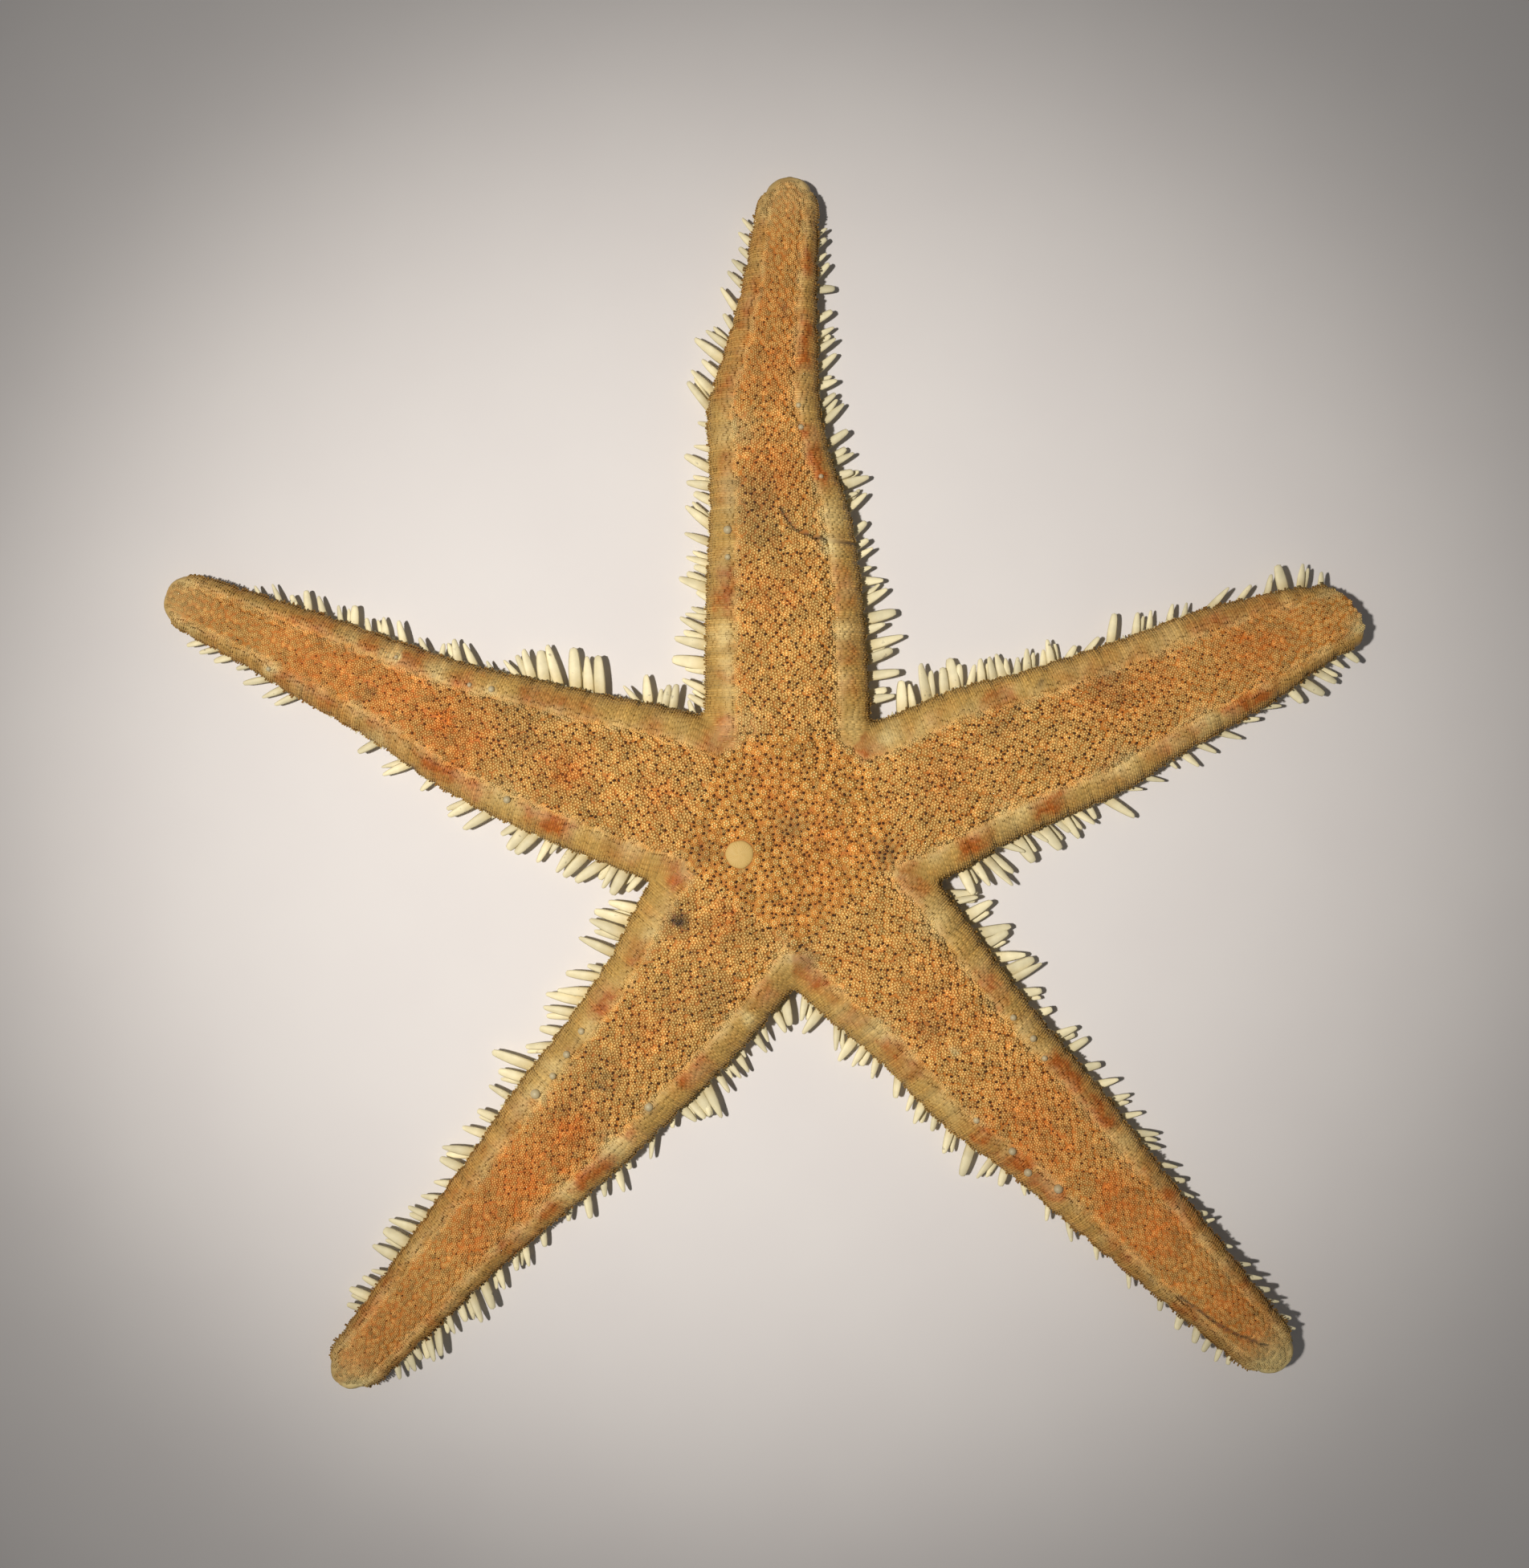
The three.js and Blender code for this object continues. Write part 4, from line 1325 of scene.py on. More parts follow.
    def disc_probe(self, random: Rng, tries: int) -> tuple[Array, Array]:
        """Random places on the disc, inside its edge plates and clear of the sieve plate.

        Args:
            random: seeded randomness.
            tries: how many places to try.

        Returns:
            x and y of the places.
        """
        radius = DISC_REACH * np.sqrt(random.random(tries))
        angle = random.random(tries) * 2 * math.pi
        x, y = about_disc(radius, angle)
        g = self.form.ground(x, y)
        clear = np.hypot(x - SievePlate.x, y - SievePlate.y) > self.sieve_room
        good = clear & (g.depth > g.band - 0.1) & ((g.s < self.start - 0.2) | (g.radius < ARMS_BEGIN))
        return x[good], y[good]

    def fill_in(self, planting: Planting, shape: Template, planted: list[Columns],
                probe: tuple[Array, Array], random: Rng) -> None:
        """Stands small columns, and dark specks of painted shade, in the bare places between larger columns.

        Args:
            planting: where they are gathered.
            shape: the column's shape.
            planted: the columns there are: x, y, half sizes and brightness of each lot.
            probe: x and y of the places to try.
            random: seeded randomness.
        """
        x, y, across, along, _ = (np.concatenate(values) for values in zip(*planted))
        half = np.minimum(across, along)
        more_x, more_y = self.bare((x, y, half), probe, 0.55 * self.small, 1.5 * self.small)
        wide = self.small * random.uniform(0.85, 1.2, len(more_x))
        self.stand(planting, shape, (more_x, more_y, wide, wide, 0.4 + 0 * wide), 0.0, random)
        taken = (np.append(x, more_x), np.append(y, more_y), np.append(half, wide))
        spot_x, spot_y = self.bare(taken, probe, self.pit_shade_room, self.pit_shade_apart)
        chance = np.interp(self.form.ground(spot_x, spot_y).s, (52, 80), (1.0, 0.25))
        kept = random.random(len(spot_x)) < chance
        _, at, normal = self.skin.drop(spot_x[kept], spot_y[kept])
        way = np.stack((random.normal(size=len(at)), random.normal(size=len(at)), 0 * at[:, 0]), axis=1)
        size = np.array(self.speck) * random.uniform(0.75, 1.25, (len(at), 1))
        size *= np.interp(self.form.ground(at[:, 0], at[:, 1]).s, (45, 75), (1.0, 0.55))[:, None]
        at = at + normal * self.pit_shade_height
        planting.add(PitShade().template(), at, frames_on(normal, way), size, 0 * at[:, 0])

    def build(self, material: Finish) -> list[Piece]:
        """Builds the columns of each arm, and those of the disc.

        Args:
            material: their finish.

        Returns:
            The pieces.
        """
        crown = Rosette().template()
        pieces = []
        for number, arm, random in self.arms(Seed.PAXILLAE):
            planting = Planting(self.form)
            planted: list[Columns] = []
            for s, t, across, along, bright in (self.rows(arm, random), self.border(arm)):
                x, y = arm.to_star(s, t)
                g = self.form.ground(x, y)
                margin = np.where(bright > 0.95, -0.5, 0.05)
                good = (g.arm == number) & (g.depth > 1.2)
                good &= (g.depth > g.band + margin) | (s > arm.length - 6)
                good &= (s < arm.worn_to(t, 0.6)) & (g.radius > ARMS_BEGIN)
                if arm.crack:
                    good &= Skin.from_line(g.s, g.t, arm.crack) > 0.14
                spots = tuple(values[good] for values in (x, y, across, along, bright))
                self.stand(planting, crown, spots, arm.heading, random)
                planted.append(spots)
            self.fill_in(planting, crown, planted, self.arm_probe(arm, number, random), random)
            pieces.append(planting.build(f"paxillae_{arm.name}", material))
        random = Seed.DISC.draws()
        x, y = self.whorl(random)
        away = np.hypot(x[:, None] - x[None], y[:, None] - y[None]) + FAR * np.eye(len(x))
        half = self.spread * np.sort(away, axis=1)[:, :self.neighbours].mean(axis=1)
        planting = Planting(self.form)
        spots = (x, y, half, half, np.full(len(x), self.disc_tone))
        self.stand(planting, self.broad.template(), spots, 0.0, random)
        self.fill_in(planting, crown, [spots], self.disc_probe(random, 12000), random)
        pieces.append(planting.build("paxillae_disc", material))
        return pieces


@dataclass
class EdgePlates(Layer):
    """The granule ridges that run down over the plates along each edge."""

    spacing: float = 0.33
    grains: int = 9
    width: float = 0.17
    thick: float = 0.1
    aim_height: float = 0.36
    top_angle: float = 86.0
    low_angle: float = -8.0

    def ridges(self, arm: Arm, side: Side, number: int) -> Columns:
        """Aims the rays that find where the grains of one side's ridges stand.

        Args:
            arm: the arm.
            side: which of its edges.
            number: the arm's place in the list, which seeds the ridges' slips.

        Returns:
            The rays' starts and directions, and the s and level of each grain.
        """
        s = np.arange(9.0, arm.length - 2.5, self.spacing)
        level = np.linspace(0.0, 1.0, self.grains)
        s, level = np.meshgrid(s, level, indexing="ij")
        phase = Seed.PHASE.draws(number).uniform(-0.5, 0.5, (len(s), 1)) / (self.grains - 1)
        s, level = s.ravel(), np.clip(level + phase, 0.0, 1.0).ravel()
        width = arm.half_width(s) * arm.closing(s)
        inner = np.maximum(width - arm.band(s) - 0.1, 0.25 * width)
        height = arm.lift_at(s) + self.aim_height * self.form.crown(s)
        angle = np.radians(self.top_angle + (self.low_angle - self.top_angle) * level)
        x, y = arm.to_star(s, arm.midline(s) + side.value * inner)
        start = np.stack((x, y, height), axis=1)
        way = arm.turned(0.0, side.value * np.cos(angle), np.sin(angle))
        return start, way, s, level

    def build(self, material: Finish) -> list[Piece]:
        """Builds the ridges of each arm.

        Args:
            material: their finish.

        Returns:
            The pieces.
        """
        shape = Ridge().template()
        pieces = []
        for number, arm, random in self.arms(Seed.EDGE_PLATES):
            planting = Planting(self.form)
            for side in Side:
                start, way, s, level = self.ridges(arm, side, number)
                hit, at, normal = self.skin.cast(start, way)
                g = self.form.ground(at[:, 0], at[:, 1])
                good = (g.arm == number) & (g.depth < g.band + 0.5)
                if arm.crack:
                    good &= Skin.from_line(*arm.to_arm(at[:, 0], at[:, 1]), arm.crack) > 0.2
                at, normal, s, level = (a[good] for a in (at, normal, s[hit], level[hit]))
                frames = frames_on(normal, np.cross(arm.outward(len(at)), normal))
                long = 0.45 + 0.55 * smooth(0.25, 0.6, level)
                size = np.stack((self.width - 0.03 * level, long, self.thick + 0.04 * level), axis=1)
                size *= random.uniform(0.88, 1.1, (len(at), 1))
                size *= np.interp(s, (60, 95), (1.0, 0.85))[:, None]
                shade = random.normal(0.5, 0.22, int(arm.length / self.spacing) + 2)
                tone = shade[((s - s.min()) / self.spacing).round().astype(int)]
                planting.add(shape, at, frames, size, scatter(random, tone, 0.1, len(at)))
            pieces.append(planting.build(f"edge_plates_{arm.name}", material))
        return pieces


@dataclass
class Combs(Layer):
    """The flat spines along both edges of each arm."""

    root: float = 1.3
    longer: float = 2.2
    height: float = 0.26
    rise: float = 5.0
    rise_slip: tuple[float, float] = (-7.0, 5.0)
    height_slip: tuple[float, float] = (-0.25, 0.2)
    roll_slip: tuple[float, float] = (-22.0, 22.0)
    widths: tuple[float, float, float] = (0.72, 0.24, 1.7)
    thick: tuple[float, float] = (0.42, 0.62)
    under_drop: float = 0.75

    def spine(self, arm: Arm, side: Side, mark: tuple, random: Rng) -> tuple:
        """Sets one spine.

        Args:
            arm: the arm.
            side: which of its edges.
            mark: s of the root, reach beyond the edge and lean in degrees.
            random: seeded randomness.

        Returns:
            The root's place, the spine's frame and its size.
        """
        s, reach, lean = mark
        lean = math.radians(lean)
        tilt = math.radians(self.rise + random.uniform(*self.rise_slip))
        along, out, up = math.sin(lean), side.value * math.cos(lean), math.tan(tilt)
        length = reach / math.cos(lean) + self.root
        t = float(arm.midline(s)) + side.value * float(arm.half_width(s) * arm.closing(s))
        root_s, root_t = s - along * self.root, t - out * self.root
        z = float(arm.lift_at(s)) + self.height * float(self.form.crown(s) + RELIEF)
        z += random.uniform(*self.height_slip)
        x, y = arm.to_star(root_s, root_t)
        way = arm.turned(along, out, up)
        frame = frames_on(np.array([[0.0, 0.0, 1.0]]) - way * way[2], way[None])[0]
        roll = math.radians(random.uniform(*self.roll_slip))
        across, upright = frame[0].copy(), frame[2].copy()
        frame[0] = across * math.cos(roll) + upright * math.sin(roll)
        frame[2] = upright * math.cos(roll) - across * math.sin(roll)
        narrow, growth, widest = self.widths
        width = float(np.clip(narrow + growth * reach, narrow, widest)) * random.uniform(0.8, 1.1)
        thick = float(np.interp(reach, (0.7, 3), self.thick))
        return (x, y, z), frame, (width, length, thick)

    def build(self, material: Finish) -> list[Piece]:
        """Builds each arm's two combs.

        Args:
            material: the spines' finish.

        Returns:
            The pieces.
        """
        shapes = [Blade(tip).template() for tip in Tip]
        pieces = []
        for _, arm, random in self.arms(Seed.COMBS):
            planting = Planting(self.form)
            for side, marks in ((Side.LEFT, arm.left), (Side.RIGHT, arm.right)):
                longer = [mark for mark in marks[::2] if mark[1] > self.longer]
                under = tuple((s + 0.7, 0.72 * reach, lean + 9) for s, reach, lean in longer)
                for mark in marks + under:
                    at, frame, size = self.spine(arm, side, mark, random)
                    at = (at[0], at[1], at[2] - self.under_drop * (mark in under))
                    shape = shapes[int(random.integers(len(shapes)))]
                    place, size = np.array([at]), np.array([size])
                    planting.add(shape, place, frame[None], size, random.random(1))
            pieces.append(planting.build(f"comb_spines_{arm.name}", material))
        return pieces


@dataclass
class Fringe(Layer):
    """Rows of small flat spinelets along the lower edge, around the roots of the combs.

    Each row is (share of the arm's height it stands at, length of its spinelets).
    """

    spacing: float = 0.62
    rows: tuple = ((0.30, 0.8), (0.20, 1.35), (0.11, 1.2))

    def build(self, material: Finish) -> list[Piece]:
        """Builds the fringe of each arm.

        Args:
            material: the spinelets' finish.

        Returns:
            The pieces.
        """
        shape = Grain(rings=3, sides=4, taper=0.35).template()
        pieces = []
        for number, arm, random in self.arms(Seed.FRINGE):
            planting = Planting(self.form)
            for side in Side:
                for row, (height, reach) in enumerate(self.rows):
                    s = np.arange(14.0, arm.length - 2.0, self.spacing) + 0.2 * row
                    s = s + random.normal(0, 0.12, len(s))
                    z = arm.lift_at(s) + height * self.form.crown(s)
                    width = arm.half_width(s)
                    inside = width - np.minimum(3.2, 0.45 * width)
                    x, y = arm.to_star(s, arm.midline(s) + side.value * inside)
                    outer = arm.to_star(s, arm.midline(s) + side.value * (width - 0.3))
                    mine = self.form.ground(*outer).arm == number
                    start = np.stack((x, y, z), axis=1)[mine]
                    hit, at, _ = self.skin.cast(start, arm.turned(0.0 * s, side.value, 0.0)[mine])
                    lean = np.radians(random.normal(22, 16, len(at)))
                    droop = random.normal(-0.12, 0.14, len(at)) - 0.15 * row
                    out = arm.turned(np.sin(lean), side.value * np.cos(lean), droop)
                    frames = aimed(UP, out)
                    long = reach * random.uniform(0.6, 1.25, len(at))
                    long *= np.interp(s[mine][hit], (60, 95), (1, 0.75))
                    size = np.stack((0.22 + 0.1 * long, 0.5 * long + 0.15, 0.12 + 0.0 * long), axis=1)
                    at = at + out * (0.34 * long)[:, None]
                    planting.add(shape, at, frames, size, random.random(len(at)))
            pieces.append(planting.build(f"fringe_{arm.name}", material))
        return pieces


@dataclass
class SievePlate(Layer):
    """The round sieve plate on the disc, with fine grooves that wander out from its middle."""

    x: float = -3.6
    y: float = -10.0
    radius: float = 1.9
    dome: float = 0.42
    grooves: int = 34

    def build(self, material: Finish) -> Piece:
        """Builds the plate.

        Args:
            material: its finish.

        Returns:
            The piece.
        """
        shape = bmesh.new()
        bmesh.ops.create_uvsphere(shape, u_segments=104, v_segments=28, radius=1.0)
        for vert in shape.verts:
            x, y, z = vert.co
            ring, turn = math.hypot(x, y), math.atan2(y, x)
            wave = math.sin(self.grooves * turn + 2.2 * math.sin(5 * turn + 6 * ring) + 4 * ring)
            mound = self.dome * abs(z) ** 0.8 * math.copysign(1, z)
            mound += 0.03 * wave * min(1, 2.5 * ring) * (z > 0)
            outline = self.radius * (1 + 0.02 * math.sin(3 * turn + 1) + 0.012 * math.sin(7 * turn))
            vert.co = (x * outline, y * outline, mound)
        # The relief also colours the plate: lower parts are painted darker, as shade.
        plate = Template.of(shape, lambda p: np.clip(0.55 + 0.9 * (p[:, 2] - 0.25), 0, 1))
        _, at, normal = self.skin.drop(np.array([self.x]), np.array([self.y]))
        planting = Planting(self.form)
        frames = frames_on(normal * (0.5, 0.5, 1.0), np.array([[1.0, 0.0, 0.0]]))
        planting.add(plate, at + (0, 0, 0.08), frames, np.ones((1, 3)), np.array([0.5]))
        return planting.build("sieve_plate", material)


@dataclass
class Underside(Layer):
    """What the star rests on: scaled lower plates, the furrows' spinelets, tube feet and the mouth.

    Each ring of the jaws' spines is (distance from the middle, how many a jaw, half length).
    """

    rooted: float = 0.25
    jaw_rings: tuple = ((2.9, 4, 0.75), (3.9, 5, 0.62), (5.1, 6, 0.5))

    @staticmethod
    def in_furrow(arm: Arm, s: Array, offset: Array) -> tuple[Array, Array]:
        """The x and y of places beside the middle of an arm's furrow."""
        return arm.to_star(s, arm.midline(s) * smooth(0, 25, s) + offset)

    def scales(self, material: Finish) -> list[Piece]:
        """Covers the lower edge plates with small flat spinelets that lean outwards.

        Args:
            material: its finish.

        Returns:
            The piece, in a list.
        """
        shape = Ridge().template()
        planting = Planting(self.form)
        random = Seed.SCALES.draws()
        for number, arm in enumerate(self.form.arms):
            for side in Side:
                s, share = np.arange(8.0, arm.length - 2.0, 1.05), np.linspace(0.0, 1.0, 7)
                s, share = np.meshgrid(s, share, indexing="ij")
                s, share = s.ravel() + random.normal(0, 0.1, s.size), share.ravel()
                width = arm.half_width(s) * arm.closing(s)
                near = 2.9 - 1.7 * s / arm.length
                t = arm.midline(s) + side.value * (near + (width - 0.9 - near) * share)
                x, y = arm.to_star(s, t)
                mine = self.form.ground(x, y).arm == number
                _, at, _ = self.skin.drop(x[mine], y[mine], from_above=False)
                frames = aimed(DOWN, arm.turned(random.normal(0.25, 0.2, len(at)), side.value, -0.55))
                long = random.uniform(0.42, 0.62, len(at))
                size = np.stack((0.24 + 0.0 * long, long, 0.13 + 0.0 * long), axis=1)
                at = at + frames[:, 1] * self.rooted
                planting.add(shape, at, frames, size, random.random(len(at)))
        return [planting.build("underside_scales", material)]

    def furrow_rows(self, material: Finish) -> list[Piece]:
        """Stands fans of spinelets along both banks of each furrow.

        Args:
            material: its finish.

        Returns:
            The piece, in a list.
        """
        shape = Grain(rings=3, sides=4, taper=0.2).template()
        planting = Planting(self.form)
        random = Seed.FURROWS.draws()
        for arm in self.form.arms:
            for side in Side:
                for row in range(3):
                    s = np.arange(5.5, arm.length - 4.5, 0.85) + 0.28 * row
                    s = s + random.normal(0, 0.06, len(s))
                    bank = 2.15 - 1.3 * s / arm.length + 0.42 * row
                    x, y = self.in_furrow(arm, s, side.value * bank)
                    _, at, _ = self.skin.drop(x, y, from_above=False)
                    lean = random.normal(0.1, 0.2, len(at))
                    way = arm.turned(lean, -side.value * (0.55 - 0.5 * row), -1.0)
                    way /= np.linalg.norm(way, axis=1)[:, None]
                    size = same((0.17, 0.52, 0.17), len(at)) * random.uniform(0.85, 1.1, (len(at), 1))
                    frames = frames_on(arm.outward(len(at)), way)
                    planting.add(shape, at + way * 0.2, frames, size, random.random(len(at)))
        return [planting.build("furrow_spinelets", material)]

    def tube_feet(self, material: Finish) -> list[Piece]:
        """Stands two rows of dried tube feet in each furrow.

        Args:
            material: its finish.

        Returns:
            The piece, in a list.
        """
        shape = Grain(rings=3, sides=5, taper=0.3).template()
        planting = Planting(self.form)
        random = Seed.FEET.draws()
        for arm in self.form.arms:
            for side in Side:
                s = np.arange(6.0, arm.length - 6.0, 1.35)
                s = s + random.normal(0, 0.12, len(s))
                x, y = self.in_furrow(arm, s, side.value * (0.75 - 0.35 * s / arm.length))
                hit, at, _ = self.skin.drop(x, y, from_above=False)
                lean, tilt = random.normal(0, 0.25, len(at)), random.normal(0, 0.2, len(at))
                way = arm.turned(lean, tilt, -1.0)
                along = s[hit] / arm.length
                size = np.stack((0.3 - 0.12 * along, 0.62 - 0.3 * along, 0.28 + 0.0 * along), axis=1)
                frames = frames_on(arm.outward(len(at)), way)
                planting.add(shape, at + way * 0.3, frames, size, random.random(len(at)))
        return [planting.build("tube_feet", material)]

    def jaws(self, material: Finish) -> list[Piece]:
        """Sets five pairs of spined jaw plates around the mouth.

        Args:
            material: its finish.

        Returns:
            The piece, in a list.
        """
        shape = Grain(rings=5, sides=6, taper=0.3).template()
        planting = Planting(self.form)
        random = Seed.JAWS.draws()
        for arm, after in zip(self.form.arms, self.form.arms[1:] + self.form.arms[:1]):
            between = arm.heading + (((after.heading - arm.heading) + 180) % 360 - 180) / 2
            for ring, count, long in self.jaw_rings:
                share = self.jaw_rings[0][0] / ring * (1 + 0.25 * (ring > 3))
                spread = np.radians(between + np.linspace(-20, 20, count) * share)
                hit, at, _ = self.skin.drop(*about_disc(ring, spread), from_above=False)
                inward = np.stack((-np.cos(spread), -np.sin(spread), -0.9 + 0.0 * spread), axis=1)
                frames = aimed(DOWN, inward[hit])
                size = same((0.27, long, 0.2), len(at))
                at = at + frames[:, 1] * self.rooted
                planting.add(shape, at, frames, size, random.random(len(at)))
        return [planting.build("mouth_spines", material)]

    def build(self, spine: Finish, feet: Finish) -> list[Piece]:
        """Builds everything on the underside.

        Args:
            spine: the finish of scales and spinelets.
            feet: the finish of the tube feet.

        Returns:
            The pieces.
        """
        return [*self.scales(spine), *self.furrow_rows(spine), *self.tube_feet(feet), *self.jaws(spine)]


@dataclass
class Beads(Layer):
    """The round grey-green grains that stand here and there on the edge plates."""

    def build(self, material: Finish) -> Piece:
        """Builds the grains.

        Args:
            material: their finish.

        Returns:
            The piece.
        """
        shape = Grain(rings=7, sides=12).template()
        planting = Planting(self.form)
        random = Seed.BEADS.draws()
        for arm in self.form.arms:
            if not arm.beads:
                continue
            s, t, size = np.array(arm.beads).T
            hit, at, normal = self.skin.drop(*arm.to_star(s, t))
            frames = frames_on(normal, same((1.0, 0.0, 0.0), len(at)))
            half = 0.7 * size[hit]
            size = np.stack((half, half, 0.8 * half), axis=1)
            planting.add(shape, at + normal * 0.1, frames, size, random.random(len(at)))
        return planting.build("beads", material)


def linear(red: int, green: int, blue: int) -> Colour:
    """A colour given as 0 to 255 screen values, all above 10, as the shader wants it."""
    return tuple(((c / 255 + 0.055) / 1.055) ** 2.4 for c in (red, green, blue)) + (1.0,)


@dataclass
class Graph:
    """Adds nodes to a shader tree and joins them."""

    tree: bpy.types.NodeTree

    def add(self, kind: str, **settings: object) -> bpy.types.Node:
        """A new node of a kind, with its settings.

        Args:
            kind: the node's kind.
            settings: the values of the node's properties.

        Returns:
            The node.
        """
        node = self.tree.nodes.new(kind)
        for name, value in settings.items():
            setattr(node, name, value)
        return node

    def put(self, value: object, socket: Socket) -> None:
        """Joins another node's output to a socket, or sets the socket's own value.

        Args:
            value: a number, a colour or another node's output.
            socket: the socket it goes to.
        """
        if isinstance(value, Socket):
            self.tree.links.new(value, socket)
        else:
            socket.default_value = value

    def sum_up(self, operation: str, *values: object, clamp: bool = False) -> Socket:
        """The result of a maths operation on numbers or outputs.

        Args:
            operation: the name of the operation.
            values: what it works on.
            clamp: whether the result is held between 0 and 1.

        Returns:
            Its output.
        """
        node = self.add("ShaderNodeMath", operation=operation, use_clamp=clamp)
        for value, socket in zip(values, node.inputs):
            self.put(value, socket)
        return node.outputs[0]

    def mix(self, share: object, first: object, second: object, blend: str = "MIX") -> Socket:
        """The mix of two colours.

        Args:
            share: how much of the second colour there is.
            first: the first colour.
            second: the second colour.
            blend: how the two are mixed.

        Returns:
            Its output.
        """
        node = self.add("ShaderNodeMix", data_type="RGBA", blend_type=blend, clamp_factor=True)
        self.put(share, node.inputs["Factor"])
        self.put(first, node.inputs[6])
        self.put(second, node.inputs[7])
        return node.outputs[2]

    def noise(self, where: Socket, scale: float, detail: float = 2.0) -> Socket:
        """A soft noise between about 0.2 and 0.8.

        Args:
            where: the place it is read at.
            scale: how fine it is.
            detail: how many finer layers it has.

        Returns:
            Its output.
        """
        node = self.add("ShaderNodeTexNoise")
        node.inputs["Scale"].default_value = scale
        node.inputs["Detail"].default_value = detail
        self.put(where, node.inputs["Vector"])
        return node.outputs["Fac"]

    def spread(self, value: object, low: float, high: float,
               to_low: float = 0.0, to_high: float = 1.0) -> Socket:
        """A value carried from one range to another, held at its ends.

        Args:
            value: the value, a number or an output.
            low: the bottom of the first range.
            high: the top of the first range.
            to_low: what the bottom becomes.
            to_high: what the top becomes.

        Returns:
            Its output.
        """
        node = self.add("ShaderNodeMapRange", clamp=True)
        for socket, number in zip(node.inputs[:5], (value, low, high, to_low, to_high)):
            self.put(number, socket)
        return node.outputs["Result"]

    def times(self, *values: object) -> Socket:
        """The product of numbers or outputs."""
        return reduce(lambda first, second: self.sum_up("MULTIPLY", first, second), values)

    def ramp(self, low: Socket, high: Socket, first: Colour, second: Colour, third: Colour) -> Socket:
        """A colour that passes from first to second as low rises, and on to third as high does."""
        return self.mix(high, self.mix(low, first, second), third)

    def shaded(self, colour: Socket, value: Socket) -> Socket:
        """A colour made lighter or darker by a value about 1.

        Args:
            colour: the colour.
            value: how light, about 1.

        Returns:
            Its output.
        """
        grey = self.add("ShaderNodeCombineColor")
        for socket in grey.inputs[:3]:
            self.put(value, socket)
        return self.mix(1.0, colour, grey.outputs[0], "MULTIPLY")

    def attribute(self, name: str) -> Socket:
        """The number that each point of a mesh holds under a name."""
        return self.add("ShaderNodeAttribute", attribute_name=name).outputs["Fac"]

    def bumpy(self, height: Socket, strength: float, shader: bpy.types.Node) -> None:
        """Gives a shader a fine bump from a height.

        Args:
            height: the height.
            strength: how strong the bump is.
            shader: the shader.
        """
        node = self.add("ShaderNodeBump")
        node.inputs["Strength"].default_value = strength
        node.inputs["Distance"].default_value = BUMP_DEPTH
        self.put(height, node.inputs["Height"])
        self.put(node.outputs["Normal"], shader.inputs["Normal"])


def new_finish(name: str, specular: float, roughness: float) -> tuple[Finish, Graph, bpy.types.Node]:
    """A new material, with the graph of its nodes and its shader.

    Args:
        name: the material's name.
        specular: how strongly it shines.
        roughness: how matt it is.

    Returns:
        The material, its graph and its Principled shader.
    """
    made = bpy.data.materials.new(name)
    made.use_nodes = True
    shader = made.node_tree.nodes["Principled BSDF"]
    shader.inputs["Specular IOR Level"].default_value = specular
    shader.inputs["Roughness"].default_value = roughness
    return made, Graph(made.node_tree), shader


@dataclass(frozen=True)
class Palette:
    """The colours of the dried star, with shaded and lit copies of some colours as painted shade and painted
    light.
    """

    # In each three, the first colour is painted shade on low points and in the pits between columns, and the
    # last is painted light on high points; the crown's cream is partly the grains' own colour and partly
    # painted light.
    low_shade: Colour = linear(84, 48, 14)
    column: Colour = linear(214, 140, 50)
    crown: Colour = linear(255, 222, 138)
    plate_shaded: Colour = linear(136, 102, 46)
    plate: Colour = linear(186, 147, 74)
    plate_lit: Colour = linear(204, 168, 96)
    rust_shaded: Colour = linear(114, 56, 12)
    rust: Colour = linear(162, 86, 22)
    rust_lit: Colour = linear(188, 108, 38)
    amber_shaded: Colour = linear(150, 78, 20)
    amber: Colour = linear(214, 122, 40)
    amber_lit: Colour = linear(240, 158, 74)
    cream: Colour = linear(232, 208, 144)
    # The colour of dark stains and flecks, and of the painted shade along the crack.
    dark_stain_and_shade: Colour = linear(74, 62, 52)
    spine: Colour = linear(240, 228, 186)
    # A spine's colour at its root, painted shade.
    spine_root_shade: Colour = linear(206, 180, 116)
    bead: Colour = linear(184, 170, 134)
    sieve: Colour = linear(206, 174, 104)
    # The tube feet's colour on their lower side, partly their own brown and partly painted shade.
    foot: Colour = linear(176, 122, 62)


PALETTE = Palette()


